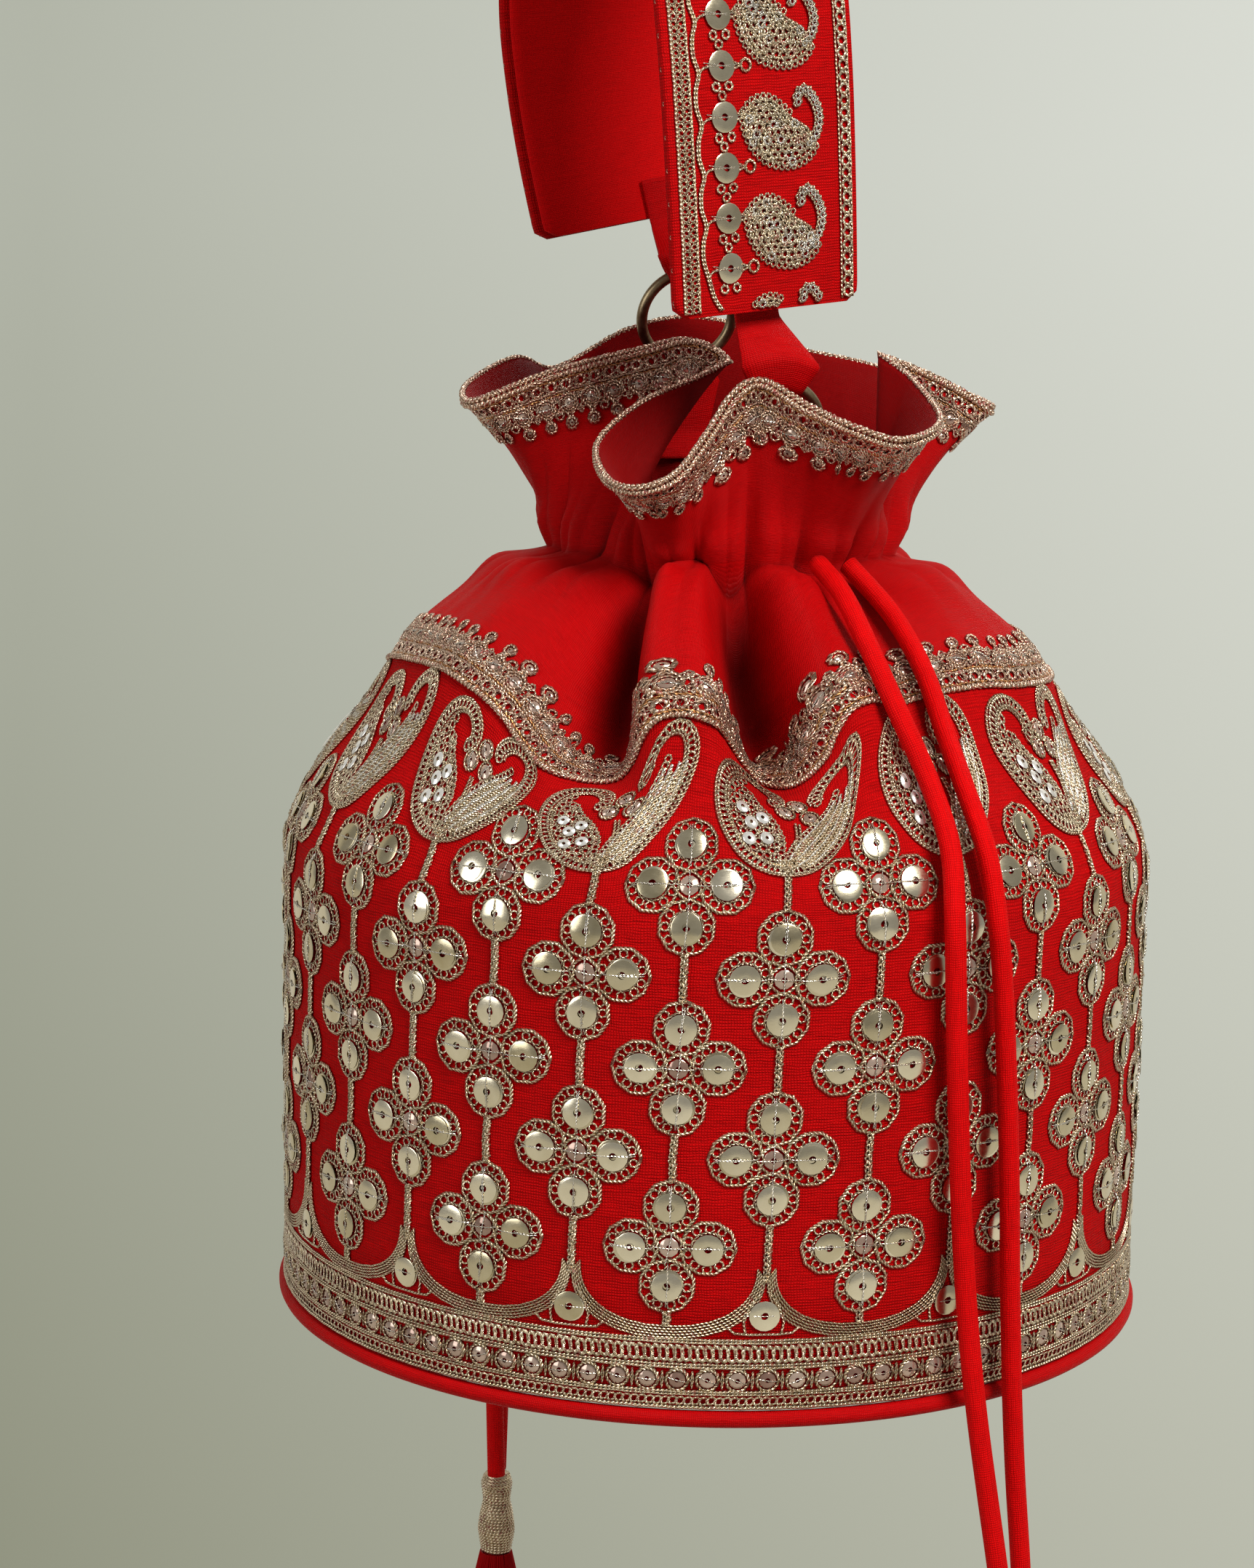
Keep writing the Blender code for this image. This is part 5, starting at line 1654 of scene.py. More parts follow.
    def scallops(self, work: Stitcher, x: float) -> None:
        """Strands that hang from cusp to cusp under one column of flowers."""
        for strand in range(5):
            reach = self.half - 0.35 - 0.38 * strand
            rise = 13.6 - 0.15 * strand
            base = 15.9 + 0.62 * strand
            t = np.linspace(-1, 1, 31)
            share = np.sin(t * math.pi / 2)
            y = base + rise * (1 - (1 - np.abs(share) ** 2.3) ** (1 / 2.3))
            path = points_of(x + share * reach, y + 0.06 * np.sin(t * 40 + strand))
            work.line(raised(path, 0.34), 0.31, GOLD)
        cusp = x + self.half
        work.stamp("sequin", PALE_SEQUIN, cusp + 0.2, 20.9, 0.42)
        work.stamp("sequin", PALE_SEQUIN, cusp, 21.1, 0.68)
        work.line([(cusp - 4.3, 21.0, 0.3), (cusp - 1.2, 21.1, 1.0), (cusp + 1.2, 21.1, 1.0),
                   (cusp + 4.3, 21.0, 0.3)],
                  0.13, SILVER)
        work.line([(cusp - 7.6, 18.3), (cusp - 6.2, 17.1), (cusp - 3.0, 16.8), (cusp + 3.0, 16.8),
                   (cusp + 6.2, 17.1),
                   (cusp + 7.6, 18.3)], 0.3, GOLD, sides=4)
        for side in (-1, 1):
            work.line([(cusp + side * 3.9, 17.2), (cusp + side * 4.3, 19.6), (cusp + side * 2.9, 23.4),
                       (cusp + side * 0.5, 26.5)], 0.3, GOLD, sides=4)

    def build(self, kit: Kit) -> None:
        """The whole net, in pieces small enough to keep."""
        rng = np.random.default_rng(self.seed)
        groups = {"low": Stitcher(), "high": Stitcher(), "hem": Stitcher()}
        self.hem(groups["hem"], rng)
        for repeat in range(self.repeats):
            for kind, count in ((0, 3), (1, 2)):
                x = (repeat + kind / 2) * 2 * self.half
                x = (x + self.half * self.repeats) % (2 * self.half * self.repeats) - self.half * self.repeats
                low = 18.5 if kind == 0 else 28.5
                if kind == 0:
                    self.scallops(groups["hem"], x)
                for k in range(count):
                    y = self.low_flower + kind * self.pitch / 2 + k * self.pitch
                    work = groups["high" if y > 70 else "low"]
                    self.flower(work, x, y, rng)
                    gap = y - self.petal_tall - self.petal - low
                    if gap > 1:
                        braid(work, np.array([(x, low), (x + rng.normal(0, 0.2), low + gap / 2), (x, low + gap)]))
                    low = y + self.petal_tall + self.petal
                if kind:
                    braid(groups["high"], np.array([(x, low), (x + 0.3, low + 6), (x, low + 11)]))
        for number, (name, work) in enumerate(groups.items()):
            piece = draped(f"zari_{name}", work.finish_flat(kit, 0.05, 0.1, 7 + 100 * number), self.lay)
            settle(piece, None, Body.BAG, "gold_thread", "zari_embroidery")


# Lace tapes


class Ribbon:
    """A tape along a closed line on a surface. It takes flat points in mm, along and in from that line."""

    def __init__(self, face: Callable[[Points, Points], Points], line: Callable[[Points], Points], sense: int,
                 width: float, samples: int = 5760, rows: int = 22) -> None:
        """Walks over the surface from each point of the line.

        Args:
            face: Points of the surface at an angle in degrees and a place up it.
            line: The line's place at each angle.
            sense: 1 where the tape goes up from the line, -1 where it goes down.
            width: How far it goes, in mm.
            samples: Points along the line.
            rows: Steps across the tape.
        """
        angle = np.linspace(-180, 180, samples + 1)[::sense]
        place = line(angle)
        start = face(angle, place)
        self.run = run_along(start) / MM
        self.heights = np.linspace(0, width, rows + 1)
        along = unit(np.roll(start[:-1], -1, axis=0) - np.roll(start[:-1], 1, axis=0))
        along = np.vstack([along, along[:1]])
        step_a, step_b = 0.12, 0.004
        side = None
        grid, outward = [], []
        for number in range(rows + 1):
            here = face(angle, place)
            by_angle = (face(angle + step_a, place) - face(angle - step_a, place)) / (2 * step_a)
            by_place = (face(angle, place + step_b) - face(angle, place - step_b)) / (2 * step_b)
            out = unit(np.cross(by_angle, by_place))
            side = np.cross(out, along) if side is None else unit(side - out * np.sum(side * out, axis=1)[:, None])
            grid.append(here)
            outward.append(out)
            if number < rows:
                move = side * (self.heights[number + 1] - self.heights[number]) * MM
                aa, ab = np.sum(by_angle**2, axis=1), np.sum(by_angle * by_place, axis=1)
                bb = np.sum(by_place**2, axis=1)
                ma, mb = np.sum(move * by_angle, axis=1), np.sum(move * by_place, axis=1)
                scale = aa * bb - ab**2
                angle = angle + (ma * bb - mb * ab) / scale
                place = place + (mb * aa - ma * ab) / scale
        self.grid, self.outward = np.array(grid), np.array(outward)

    def lay(self, flat: Points) -> Points:
        """Flat points in mm, with their height, on the surface."""
        x = np.mod(flat[:, 0], self.run[-1])
        column = np.interp(x, self.run, np.arange(len(self.run)))
        row = flat[:, 1] / self.heights[1]
        i = np.clip(row.astype(int), 0, len(self.heights) - 2)
        j = np.clip(column.astype(int), 0, len(self.run) - 2)
        v, u = (row - i)[:, None], (column - j)[:, None]

        def blend(values: Points) -> Points:
            """Values between the grid's corners."""
            low = values[i, j] * (1 - u) + values[i, j + 1] * u
            high = values[i + 1, j] * (1 - u) + values[i + 1, j + 1] * u
            return low * (1 - v) + high * v

        return blend(self.grid) + blend(self.outward) * flat[:, 2:3] * MM


@dataclass
class LaceTape:
    """A rose-gold lace: a corded edge, a row of rings, clusters round clear sequins and picot drops."""

    name: str
    node: str
    face: Callable[[Points, Points], Points]
    line: Callable[[Points], Points]
    sense: int
    seed: int
    rim: bool = False

    def ground(self, work: Stitcher, length: float) -> None:
        """The net of fine thread that the rest is worked on."""
        for low, high, pitch in ((0.9, 4.5, 1.5), (4.7, 7.4, 1.9)):
            count = int(length / pitch)
            x = np.arange(count + 1) * length / count
            y = np.where(np.arange(count + 1) % 2 == 0, low, high)
            work.line(points_of(x, y, 0.16), 0.24, MAROON)
            work.line(points_of(x, low + high - y, 0.22), 0.2, ROSE)

    def edge(self, work: Stitcher, length: float) -> None:
        """The twisted cord along the sewn edge and the two plain ones beside it."""
        fine = np.linspace(0, length, int(length / 0.52))
        for strand in range(2):
            phase = 2 * math.pi * fine / 2.6 + math.pi * strand
            work.line(points_of(fine, 0.55 + 0.34 * np.sin(phase), 0.55 + 0.32 * np.cos(phase)), 0.5, ROSE, sides=4)
            if self.rim:
                work.line(points_of(fine, -0.45 + 0.38 * np.cos(phase), -0.4 + 0.38 * np.sin(phase)), 0.5, ROSE,
                          sides=4)
        coarse = np.linspace(0, length, int(length / 1.1))
        for y, radius, finish in ((1.5, 0.34, ORANGE), (4.35, 0.36, ROSE), (4.95, 0.3, ORANGE)):
            work.line(points_of(coarse, y + 0.12 * np.sin(coarse * 1.9), radius), radius, finish)

    def build(self, kit: Kit) -> None:
        """The tape all the way round."""
        rng = np.random.default_rng(self.seed)
        ribbon = Ribbon(self.face, self.line, self.sense, 15.0)
        length = float(ribbon.run[-1])
        work = Stitcher()
        self.ground(work, length)
        self.edge(work, length)
        count = round(length / 3.6)
        for k in range(count):
            x = (k + 0.5) * length / count
            work.stamp("eyelet", ROSE, x, 2.85 + rng.normal(0, 0.1), 0.45, rng.uniform(0, 3), 1.3, 1.2)
            work.stamp("link", ROSE, x + 1.8, 2.1 + rng.normal(0, 0.15), 0.4, 1.5, 0.9, 0.65)
            work.stamp("link", ROSE, x + 1.8, 3.7 + rng.normal(0, 0.15), 0.4, 1.5, 0.8, 0.6)
        count = round(length / 5.9)
        for k in range(count):
            x = (k + 0.5) * length / count + rng.normal(0, 0.15)
            y = 7.35 + rng.normal(0, 0.15)
            work.line(circle(x, y, 2.25, 12), 0.46, ROSE, True)
            work.line(raised(circle(x, y, 1.55, 9), 0.6), 0.36, ROSE, True)
            work.stamp("spangle", CLEAR_SEQUIN, x, y, 0.66, rng.uniform(0, 6), 1.2)
            a = rng.uniform(-0.6, 0.6)
            work.line(turned_about(np.array([(-1.9, 0, 0.7), (0, 0, 1.05), (1.9, 0, 0.7)]), a, x, y), 0.17, SILVER)
            for turn in (-2.6, -1.57, -0.55, 0.6, 2.55):
                work.stamp("eyelet", ROSE, x + 2.9 * math.cos(turn), y + 2.6 * math.sin(turn), 0.4, turn,
                           rng.uniform(0.7, 0.85), rng.uniform(0.6, 0.75))
            sway = rng.normal(0, 0.3)
            for shift in (-1.0, 1.0):
                work.line([(x + shift, y + 1.8), (x + sway * 0.3 + shift * 0.45, y + 2.8),
                           (x + sway * 0.8, y + 3.6)],
                          0.46, ROSE)
            tip = y + 4.55 + rng.normal(0, 0.15)
            size = rng.uniform(1.15, 1.35)
            work.line(circle(x + sway, tip, size, 9), 0.48, ROSE, True)
            work.stamp("spangle", CLEAR_SEQUIN, x + sway, tip, 0.35, rng.uniform(0, 6), 0.8)
            mid = x + 0.5 * length / count
            work.line([(mid - 1.0, 5.0), (mid - 0.75, 7.6), (mid, 8.7), (mid + 0.75, 7.6), (mid + 1.0, 5.0)], 0.4,
                      ROSE)
            if k % 2:
                work.line(circle(mid, 9.7, 0.95, 8), 0.42, ROSE, True)
            else:
                work.stamp("eyelet", ROSE, mid, 9.3, 0.4, 1.57, 0.85, 0.65)
        piece = draped(self.name, work.finish_flat(kit, 0.1, 0.2, self.seed), ribbon.lay)
        settle(piece, None, Body.BAG, "rose_gold_thread", self.node)


def laces() -> tuple[LaceTape, LaceTape]:
    """The lace over the seam, with its picots up, and the one outside the mouth, with its picots down."""
    return (LaceTape("seam_lace_work", "seam_lace", FORM.shoulder,
                     lambda angle: FORM.seam(angle) - 0.8 * MM / FORM.shoulder_length, 1, 21),
            LaceTape("mouth_lace_work", "mouth_lace", FORM.ruffle,
                     lambda angle: np.full(len(angle), 0.9955), -1, 22, True))


# Paisleys over the flowers


def inside(outline: Points, spots: Points) -> Points:
    """Which flat spots lie in a closed outline."""
    ax, ay = outline[:, 0], outline[:, 1]
    bx, by = np.roll(ax, -1), np.roll(ay, -1)
    x, y = spots[:, :1], spots[:, 1:2]
    crosses = (ay[None] > y) != (by[None] > y)
    level = ax[None] + (y - ay[None]) / np.where(by == ay, 1e-9, by - ay)[None] * (bx - ax)[None]
    return (np.sum(crosses & (x < level), axis=1) % 2).astype(bool)


def smooth(points: Sequence, count: int) -> Points:
    """Evenly spaced flat points on a smooth curve through a few."""
    points = np.asarray(points, float)
    return through(raised(points, 0.0), count)[:, :2]


@dataclass
class Paisleys:
    """The pairs of paisleys and the sprigs where the panel bends over into the shoulder."""

    wall_work: WallWork
    joint: float = 119.0
    top: float = 147.5
    room: float = 2.2
    bend: float = 8.0
    seed: int = 31

    back: tuple = (
        (0, 0), (4.6, 1.4), (9.0, 5.4), (12.6, 10.8), (14.9, 17.2), (15.6, 23.0), (14.0, 27.2), (10.8, 28.2),
        (8.0, 26.4), (6.6, 23.0), (7.4, 20.9))
    front: tuple = ((0, 0), (0.9, 4.4), (3.2, 9.6), (6.6, 14.6), (9.6, 18.6), (11.2, 22.4))
    back_left: tuple = (
        (0, 0), (-4.4, 0.6), (-8.8, 3.4), (-11.9, 8.6), (-12.9, 14.6), (-11.8, 20.4), (-8.6, 25.2), (-4.4, 26.4),
        (-1.4, 24.0), (-0.8, 20.6), (-2.6, 18.6))
    front_left: tuple = ((0, 0), (-1.0, 4.0), (-0.9, 8.4), (-2.6, 12.6), (-5.2, 16.0), (-6.8, 19.8))

    def lay(self, flat: Points) -> Points:
        """Flat points in mm, squeezed to stay under the seam, on the cloth."""
        fitted = flat.copy()
        angle = self.wall_work.first + np.degrees(flat[:, 0] * MM / FORM.radius)
        limit = (FORM.wall + FORM.seam(angle) * FORM.shoulder_length) / MM - self.room
        share = (flat[:, 1] - self.joint + self.bend) / (self.top - self.joint + self.bend)
        squeezed = self.joint - self.bend + share * (limit - self.joint + self.bend)
        fitted[:, 1] = np.where(share > 0, squeezed, flat[:, 1])
        return self.wall_work.lay(fitted)

    def spread(self, y: Points) -> Points:
        """How much wider the pattern is written where the shoulder is narrower."""
        place = np.clip((y * MM - FORM.wall) / FORM.shoulder_length, 0, 1)
        return FORM.radius / np.interp(place, FORM.share, FORM.line_radius)

    def moved(self, path: Points, x: float) -> Points:
        """A path in mm from a joint, at that joint."""
        path = np.asarray(path, float)
        made = path.copy()
        made[:, 1] = path[:, 1] + self.joint
        made[:, 0] = x + path[:, 0] * self.spread(made[:, 1])
        return made

    def paisley(self, work: Stitcher, x: float, left: bool, rng: Draws) -> None:
        """One paisley from a joint: a double chain round it, and couched thread or small sequins in it."""
        back = smooth(self.back_left if left else self.back, 60)
        sparse = slice(None, None, 2)
        front = smooth(self.front_left if left else self.front, 34)
        sign = -1 if left else 1
        chain(work, self.moved(back, x), 1.3, 0.82, 1.2, GOLD, 0.6, "eyelet", 0.35 * sign)
        chain(work, self.moved(front, x), 1.35, 0.8, 0.95, GOLD, 0.5, "eyelet", -0.3 * sign)
        normal = points_of(-np.gradient(back[:, 1]), np.gradient(back[:, 0]))
        normal = unit(normal) * sign
        for shift, radius, height in ((-1.35, 0.36, 0.4), (1.35, 0.36, 0.4)):
            edge = self.moved(back + normal * shift, x)[sparse]
            work.line(raised(edge, height), radius, GOLD, sides=4)
        outline = np.vstack([back[:44] + normal[:44] * 1.3, front[::-1]])
        if left:
            grid = np.array([(i * 1.9 + (j % 2) * 0.95, j * 1.65) for i in range(-8, 3) for j in range(-1, 15)])
            keep = grid[inside(outline, grid)]
            spots = self.moved(keep + rng.normal(0, 0.1, keep.shape), x)
            for px, py in spots:
                work.stamp("eyelet", GOLD, px, py, 0.42, rng.uniform(0, 6), 0.95, 0.87)
            for dx, dy in ((-7.6, 6.6), (-3.9, 7.6), (-7.0, 10.6), (-4.6, 12.6), (-8.6, 14.0)):
                (px, py), = self.moved([(dx, dy)], x)
                work.stamp("spangle", WHITE_SEQUIN, px, py, 1.0, rng.uniform(0, 6), 1.55)
        else:
            count = 11
            for k in range(count):
                share = (k + 0.6) / count
                path = back[:40] * share + smooth(front, 40) * (1 - share)
                path = path[5 + 2 * (k % 2):37 - 2 * (k % 3)]
                path = path + rng.normal(0, 0.06, path.shape)
                inner = self.moved(path[sparse], x)
                work.line(np.column_stack([inner, 0.46 + 0.2 * np.sin(np.arange(len(inner)) * 2.2 + k)]), 0.47,
                          GOLD if k % 3 else SILVER, sides=4)

    def sprig(self, work: Stitcher, x: float, rng: Draws) -> None:
        """Three ringed clear sequins on a stem between two paisleys."""
        lean = 1.2
        stem = smooth(((0, 0), (0.9, 5.0), (1.6, 10.0), (1.4, 14.0)), 12) + (lean, 0)
        for shift in (-0.45, 0.35):
            path = self.moved(stem + (shift, 0), x)
            work.line(raised(path, 0.5), 0.36, GOLD, sides=4)
        for dx, dy in ((-2.3, 17.0), (2.6, 16.6), (0.4, 20.6)):
            (px, py), = self.moved([(1.4 + lean + dx, dy)], x)
            work.line(circle(px, py, 2.15, 11), 0.42, GOLD, True)
            work.stamp("spangle", CLEAR_SEQUIN, px, py, 0.6, rng.uniform(0, 6), 1.6)
            stitch = np.array([(-2.1, 0, 0.6), (0, 0, 1.0), (2.1, 0, 0.6)])
            work.line(turned_about(stitch, rng.uniform(0.9, 2.2), px, py), 0.14, SILVER)

    def build(self, kit: Kit) -> None:
        """Both paisleys and the sprig on each of the shorter columns."""
        rng = np.random.default_rng(self.seed)
        work = Stitcher()
        half = self.wall_work.half
        for repeat in range(self.wall_work.repeats):
            x = (repeat + 0.5) * 2 * half
            self.paisley(work, x, False, rng)
            self.paisley(work, x, True, rng)
            self.sprig(work, x, rng)
        piece = draped("zari_paisleys", work.finish_flat(kit, 0.06, 0.12, self.seed), self.lay)
        settle(piece, None, Body.BAG, "gold_thread", "zari_embroidery")


# Gold work on the strap


@dataclass
class StrapWork:
    """The strap's borders, sequins and paisleys. Flat x is across and y runs up from the near end."""

    strap: Strap
    left: float = -21.0
    cord: float = -16.7
    sequins: float = -10.6
    pitch: float = 10.7
    first: float = 9.9
    right: float = 21.5
    seed: int = 41
    bulb: tuple = (
        (-5.2, 0.4), (-4.9, -2.6), (-3.2, -6.2), (-0.5, -8.9), (3.0, -10.3), (7.0, -10.6), (10.5, -9.6),
        (12.8, -7.2), (12.2, -4.6), (10.0, -2.6), (7.6, -1.4), (5.4, 0.4), (2.8, 2.5), (0.2, 3.3), (-2.8, 2.6))
    tail: tuple = ((11.0, -7.2), (13.6, -4.6), (14.5, -1.2), (13.4, 2.4), (11.0, 4.9), (9.0, 3.9), (9.0, 1.6))
    hemmed: float = 0.9

    def lay(self, flat: Points) -> Points:
        """Flat points on the strap's outer face."""
        return self.strap.lay(flat[:, [1, 0, 2]])

    def borders(self, work: Stitcher, length: float, rng: Draws) -> None:
        """The ladder chain down one side and the ring chain down the other."""
        low, high = 1.0, length - 1.0
        count = int((high - low) / 1.5)
        for k in range(count):
            y = low + (k + 0.5) * (high - low) / count
            for side in (-1, 1):
                work.stamp("eyelet", GOLD, self.left + side * 0.95, y + rng.normal(0, 0.06), 0.35 + 0.1 * (k % 2),
                           0.3 * side, 0.9, 0.66)
        fine = np.linspace(low, high, int((high - low) / 1.6))
        for at, radius in ((self.left - 1.95, 0.34), (self.left + 1.95, 0.34), (self.left, 0.22),
                           (self.right - 1.5, 0.28), (self.right + 1.5, 0.28)):
            work.line(points_of(at + 0.07 * np.sin(fine * 1.3), fine, radius), radius, GOLD, sides=4)
        count = int((high - low) / 2.6)
        for k in range(count):
            y = low + (k + 0.5) * (high - low) / count
            work.stamp("eyelet", GOLD, self.right + rng.normal(0, 0.06), y, 0.45, rng.uniform(0, 3), 1.25, 1.15)
            work.stamp("link", GOLD, self.right, y + 1.3, 0.5, 0.0, 0.9, 0.4)

    def sequin_row(self, work: Stitcher, y: float, joined_on: bool, rng: Draws) -> None:
        """One stacked sequin with its loops, and the wavy cord beside it."""
        x = self.sequins + rng.normal(0, 0.15)
        work.stamp("sequin", PALE_SEQUIN, x + 0.3, y + 0.1, 0.3)
        work.stamp("sequin", PALE_SEQUIN, x, y, 0.56)
        work.line([(x - 4.6, y - 0.2, 0.3), (x - 2.6, y, 0.85), (x + 0.2, y, 0.9), (x + 4.4, y + 0.2, 0.3)], 0.17,
                  SILVER)
        work.line([(x - 4.4, y + 0.8, 0.3), (x - 2.4, y + 0.4, 0.88), (x + 0.4, y, 0.95), (x + 4.3, y - 0.5, 0.3)],
                  0.13,
                  SILVER)
        for dx, dy in ((-1.6, -4.3), (1.7, -4.2), (-0.2, 4.5)):
            work.stamp("eyelet", GOLD, x + dx, y + dy, 0.4, rng.uniform(0, 3), 1.05, 0.95)
        work.line([(x - 0.2, y + 3.1), (x - 0.2, y + 3.7)], 0.3, GOLD, sides=4)
        reach = 6.1
        if joined_on:
            for shift in (-0.7, 0.7):
                work.line([(x + 3.2, y + shift), (x + 5.4, y + shift * 0.4), (x + 8.0, y + shift)], 0.34, GOLD,
                          sides=4)
        else:
            for shift in (-0.8, 0.8):
                work.line([(x + 3.2, y + shift), (x + 4.6, y + shift * 0.3), (x + 5.4, y + shift * 0.3)], 0.32,
                          GOLD, sides=4)
            work.line(circle(x + reach + 0.4, y, 1.3, 12), 0.36, GOLD, True, 4)
        work.line([(x - 3.2, y), (x - 4.6, y - 0.4), (self.cord + 0.4, y - 1.4)], 0.32, GOLD, sides=4)

    def paisley(self, work: Stitcher, y: float, rng: Draws) -> None:
        """One paisley of close loops with a curled tail, cut where the strap's end is hemmed."""
        outline = np.array(self.bulb) + (0.0, y)
        spots = np.array([(i * 1.85 + (j % 2) * 0.92 - 7, y - 12 + j * 1.6) for i in range(13) for j in range(11)])
        spots = spots[inside(outline, spots) & (spots[:, 1] > self.hemmed)]
        for px, py in spots + rng.normal(0, 0.1, spots.shape):
            work.stamp("eyelet", GOLD if rng.random() > 0.2 else SILVER, px, py, 0.5 + rng.uniform(0, 0.15),
                       rng.uniform(0, 6), 0.98, 0.9)
        rim = smooth(np.vstack([outline, outline[:1]]), 70)
        middle = outline.mean(axis=0)
        for share in (1.0, 0.86, 0.68, 0.5, 0.32, 0.14):
            path = middle + (rim[::2] - middle) * share
            path = np.roll(path, -int(np.argmin(path[:, 1])), axis=0)
            path = path[path[:, 1] > self.hemmed]
            if len(path) > 2:
                work.line(raised(path, 0.3), 0.46, GOLD)
        for k in range(0, 70, 2):
            away = unit(rim[k] - middle)
            if rim[k, 1] > self.hemmed and (away[0] < 0.75 or away[1] < -0.3):
                work.stamp("eyelet", GOLD, rim[k, 0] + 0.75 * away[0], rim[k, 1] + 0.75 * away[1], 0.36,
                           math.atan2(away[1], away[0]), 0.8, 0.7)
        tail = smooth(np.array(self.tail) + (0.0, y), 50)
        tail = tail[tail[:, 1] > self.hemmed]
        chain(work, tail, 1.3, 0.85, 1.2, GOLD, 0.5, "eyelet", 0.3)
        chain(work, tail, 1.4, 0.7, 0.6, SILVER, 0.8, "eyelet", -0.3)

    def build(self, kit: Kit) -> None:
        """The whole length of the strap's outer face."""
        rng = np.random.default_rng(self.seed)
        length = float(self.strap.fine()[3][-1])
        work = Stitcher()
        self.borders(work, length, rng)
        count = int((length - self.first - 3) / self.pitch) + 1
        self.paisley(work, self.first - self.pitch, rng)
        cord = [(self.cord + 3.5, 1.2), (self.cord + 1.6, 4.0)]
        for k in range(count):
            y = self.first + k * self.pitch
            self.sequin_row(work, y, k % 2 == 1, rng)
            if k % 2 == 1:
                self.paisley(work, y, rng)
            cord += [(self.cord + 0.2, y - 1.4), (self.cord - 0.9, y + 2.2), (self.cord - 0.8, y + 6.0)]
        path = smooth(cord, len(cord) * 4)
        for shift in (-0.3, 0.3):
            work.line(raised(path + (shift, 0), 0.34), 0.32, GOLD, sides=4)
        bars = Stitcher()
        for k in range(int(length / 7.0)):
            y = 3.5 + k * 7.0
            bars.line([(-24.6, y - 1.6, -1.1), (-25.05, y, -1.25), (-24.6, y + 1.6, -1.1)], 0.16, MAROON)
        meshes = work.finish_flat(kit, 0.06, 0.12, self.seed)
        left = draped("strap_zari", meshes, self.lay)
        settle(left, None, Body.STRAP, "gold_thread", "strap_braid_left", "strap_braid_right")
        sewn = draped("strap_edge_stitches", bars.finish_flat(kit), self.lay)
        settle(sewn, None, Body.STRAP, "silk_red")


# Studio


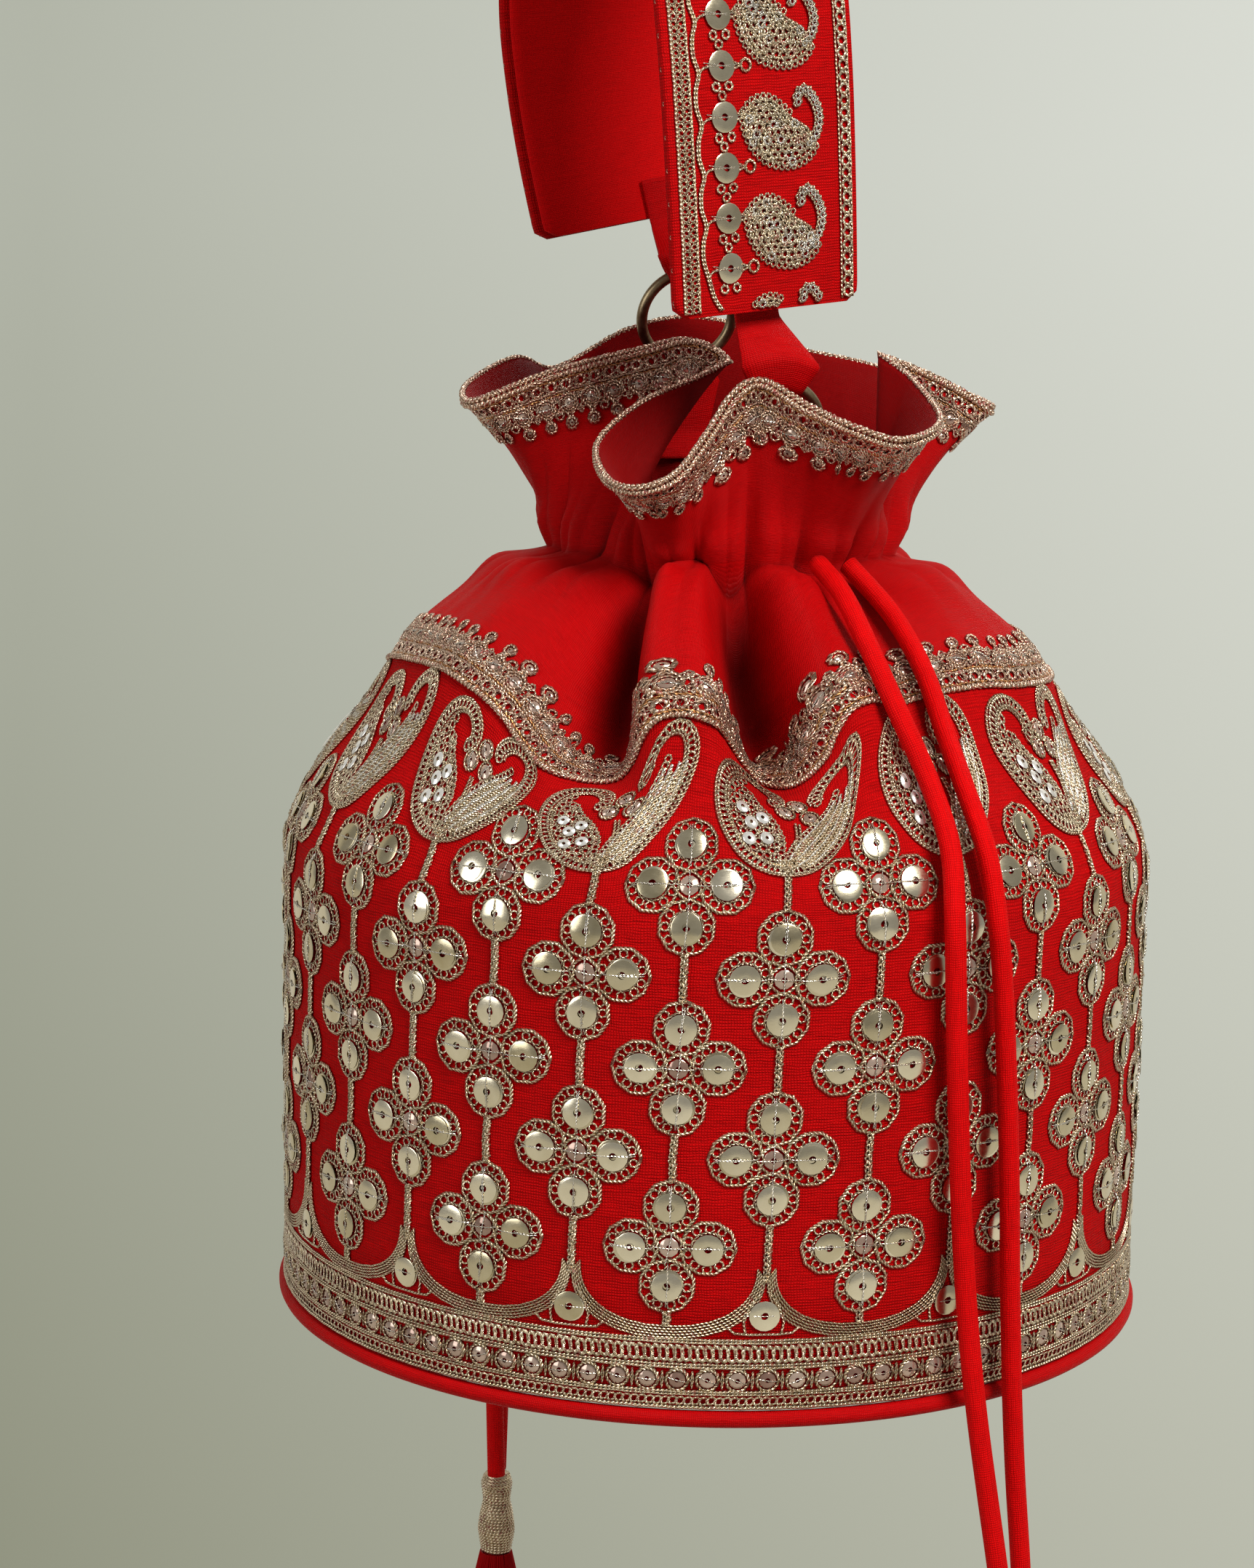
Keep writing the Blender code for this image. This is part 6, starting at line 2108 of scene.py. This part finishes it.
@dataclass
class Studio:
    """The camera at the photograph's place, soft lamps, and a pale floor that turns up into a backdrop."""

    focal: float = 5027.375
    frame_height: float = 2156.0
    target_height: float = 0.08
    distance: float = 0.86566
    elevation: float = 0.2260016
    roll: float = 0.0235228
    centre_x: float = 122.6415
    centre_y: float = 209.843

    def camera(self) -> None:
        """The camera."""
        target = np.array((0, 0, self.target_height))
        eye = target + self.distance * np.array((0, -math.cos(self.elevation), math.sin(self.elevation)))
        forward = (target - eye) / self.distance
        right = np.array((1.0, 0, 0))
        axes = np.array([right, np.cross(right, forward), forward])
        x, y = math.atan(self.centre_x / self.focal), math.atan(self.centre_y / self.focal)
        c, s = math.cos(self.roll), math.sin(self.roll)
        turn = np.array([[c, s, 0], [-s, c, 0], [0, 0, 1]])
        tilt = np.array([[1, 0, 0], [0, math.cos(y), -math.sin(y)], [0, math.sin(y), math.cos(y)]])
        pan = np.array([[math.cos(x), 0, math.sin(x)], [0, 1, 0], [-math.sin(x), 0, math.cos(x)]])
        axes = turn @ tilt @ pan @ axes
        data = bpy.data.cameras.new("camera")
        made = placed("camera", data)
        matrix = Matrix.Identity(4)
        for row in range(3):
            matrix[row][0], matrix[row][1], matrix[row][2] = axes[0][row], axes[1][row], -axes[2][row]
            matrix[row][3] = float(eye[row] + BAG_PLACE[row])
        made.matrix_world = matrix
        data.sensor_fit = "VERTICAL"
        data.sensor_height = 36.0
        data.sensor_width = 36.0
        data.lens = self.focal / self.frame_height * 36.0
        data.clip_start, data.clip_end = 0.02, 30.0
        bpy.context.scene.camera = made

    def lamp(self, name: str, place: tuple[float, float, float], size: float, power: float, colour: Colour) -> None:
        """A square area lamp that faces the bag."""
        data = bpy.data.lights.new(name, "AREA")
        data.size = size
        data.energy = power
        data.color = colour
        made = placed(name, data)
        made.location = Vector(place) + Vector(BAG_PLACE)
        made.rotation_euler = (Vector((0, 0, 0.1)) - Vector(place)).to_track_quat("-Z", "Y").to_euler()

    def sweep(self) -> None:
        """The floor and backdrop, one sheet that curves up behind the bag."""
        low, back, bend, high, half = -0.62, 1.5, 0.9, 3.2, 3.4
        profile = [(-3.4, low), (-1.6, low), (0.0, low), (back - bend, low)]
        profile += [(back - bend + bend * math.sin(a), low + bend - bend * math.cos(a))
                    for a in np.radians(np.arange(10, 91, 10))]
        profile += [(back, 1.4), (back, high)]
        points = [(x, y, z) for y, z in profile for x in (-half, half)]
        faces = [(2 * k, 2 * k + 1, 2 * k + 3, 2 * k + 2) for k in range(len(profile) - 1)]
        made = mesh_piece("studio_sweep", np.array(points), faces)
        made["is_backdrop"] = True
        material = bpy.data.materials.new("studio_paper")
        material.use_nodes = True
        net = Net(material.node_tree)
        material.node_tree.nodes.clear()
        place = net.get("ShaderNodeTexCoord", out="Object")
        parts = net.node("ShaderNodeSeparateXYZ", None, {0: place})
        x, y, z = (Signal(net, parts.outputs[k]) for k in range(3))
        climb = z + y * 0.35
        rise = ((climb + 0.55) / 0.95).maths("ADD", 0.0, clamp=True)
        side = ((x + 0.42) / 0.9).maths("ADD", 0.0, clamp=True)

        # Painted light: the sheet is lighter to the right and higher up and darker low on the left, as the light
        # falls off; the paper's diffuse colour takes half of it.
        shade = net.mix(rise, net.mix(side, (0.26, 0.27, 0.19), (0.54, 0.55, 0.46)),
                        net.mix(side, (0.47, 0.49, 0.415), (0.78, 0.80, 0.74)))
        paper = net.get("ShaderNodeBsdfDiffuse", None, {"Color": net.mix(0.5, shade, (0.5, 0.5, 0.45))})
        # The sheet glows for camera, glossy and transmission rays: the painted gradient to the camera, and a
        # lighter, warmer painted reflection in glossy surfaces.
        rays = net.node("ShaderNodeLightPath")
        mirrored = Signal(net, rays.outputs["Is Glossy Ray"])
        glow = net.get("ShaderNodeEmission", None,
                       {"Color": net.mix(mirrored * 0.75, shade, (0.72, 0.67, 0.58)), "Strength": 1.0})
        seen = Signal(net, rays.outputs["Is Camera Ray"]).maths("MAXIMUM", mirrored)
        seen = seen.maths("MAXIMUM", Signal(net, rays.outputs["Is Transmission Ray"]))
        lit = net.get("ShaderNodeMixShader", None, {0: seen * 0.82, 1: paper, 2: glow})
        behind = net.get("ShaderNodeNewGeometry", out="Backfacing")
        clear = net.get("ShaderNodeBsdfTransparent")
        whole = net.get("ShaderNodeMixShader", None, {0: behind, 1: lit, 2: clear})
        net.node("ShaderNodeOutputMaterial", None, {0: whole})
        made.data.materials.append(material)

    def world(self) -> None:
        """An even pale world: light for the bag, and a pale surround where the sheet ends."""
        world = bpy.data.worlds.new("studio_air")
        bpy.context.scene.world = world
        world.use_nodes = True
        net = Net(world.node_tree)
        world.node_tree.nodes.clear()
        rays = net.node("ShaderNodeLightPath")
        seen = Signal(net, rays.outputs["Is Camera Ray"])
        light = net.get("ShaderNodeBackground", None, {"Color": (1.0, 0.98, 0.95), "Strength": 0.27})
        pale = net.get("ShaderNodeBackground", None, {"Color": (0.55, 0.57, 0.5), "Strength": 1.0})
        mixed = net.get("ShaderNodeMixShader", None, {0: seen, 1: light, 2: pale})
        net.node("ShaderNodeOutputWorld", None, {0: mixed})

    def build(self) -> None:
        """The whole studio."""
        self.camera()
        self.sweep()
        self.world()
        self.lamp("key", (0.7, -1.0, 1.3), 0.7, 31.0, (1.0, 0.985, 0.95))
        self.lamp("fill", (-1.3, -0.8, 0.5), 0.9, 7.0, (0.97, 0.98, 1.0))
        self.lamp("rim", (0.2, 1.1, 1.2), 0.8, 7.0, (1.0, 1.0, 1.0))
        bpy.context.scene.view_settings.view_transform = "Standard"


def main() -> None:
    """Builds everything in order and reports each piece."""
    logging.basicConfig(level=logging.INFO, format="%(message)s")
    studio = Studio()
    cords = Drawstrings()
    cords.build()
    kit = stitch_kit()
    wall_work = WallWork()
    wall_work.build(kit)
    Paisleys(wall_work).build(kit)
    for tape in laces():
        tape.build(kit)
    BodyPanel().build()
    Yoke().build()
    Base().build()
    strap = Strap()
    strap.build()
    StrapWork(strap).build(kit)
    Hardware().build(strap)
    studio.build()
    for stamp in kit.values():
        bpy.data.objects.remove(stamp)
    total = 0
    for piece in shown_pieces():
        if piece.type == "MESH":
            piece.data.calc_loop_triangles()
            total += len(piece.data.loop_triangles)
            LOG.info("%s: %d triangles", piece.name, len(piece.data.loop_triangles))
    LOG.info("all pieces: %d triangles", total)


if __name__ == "__main__":
    main()
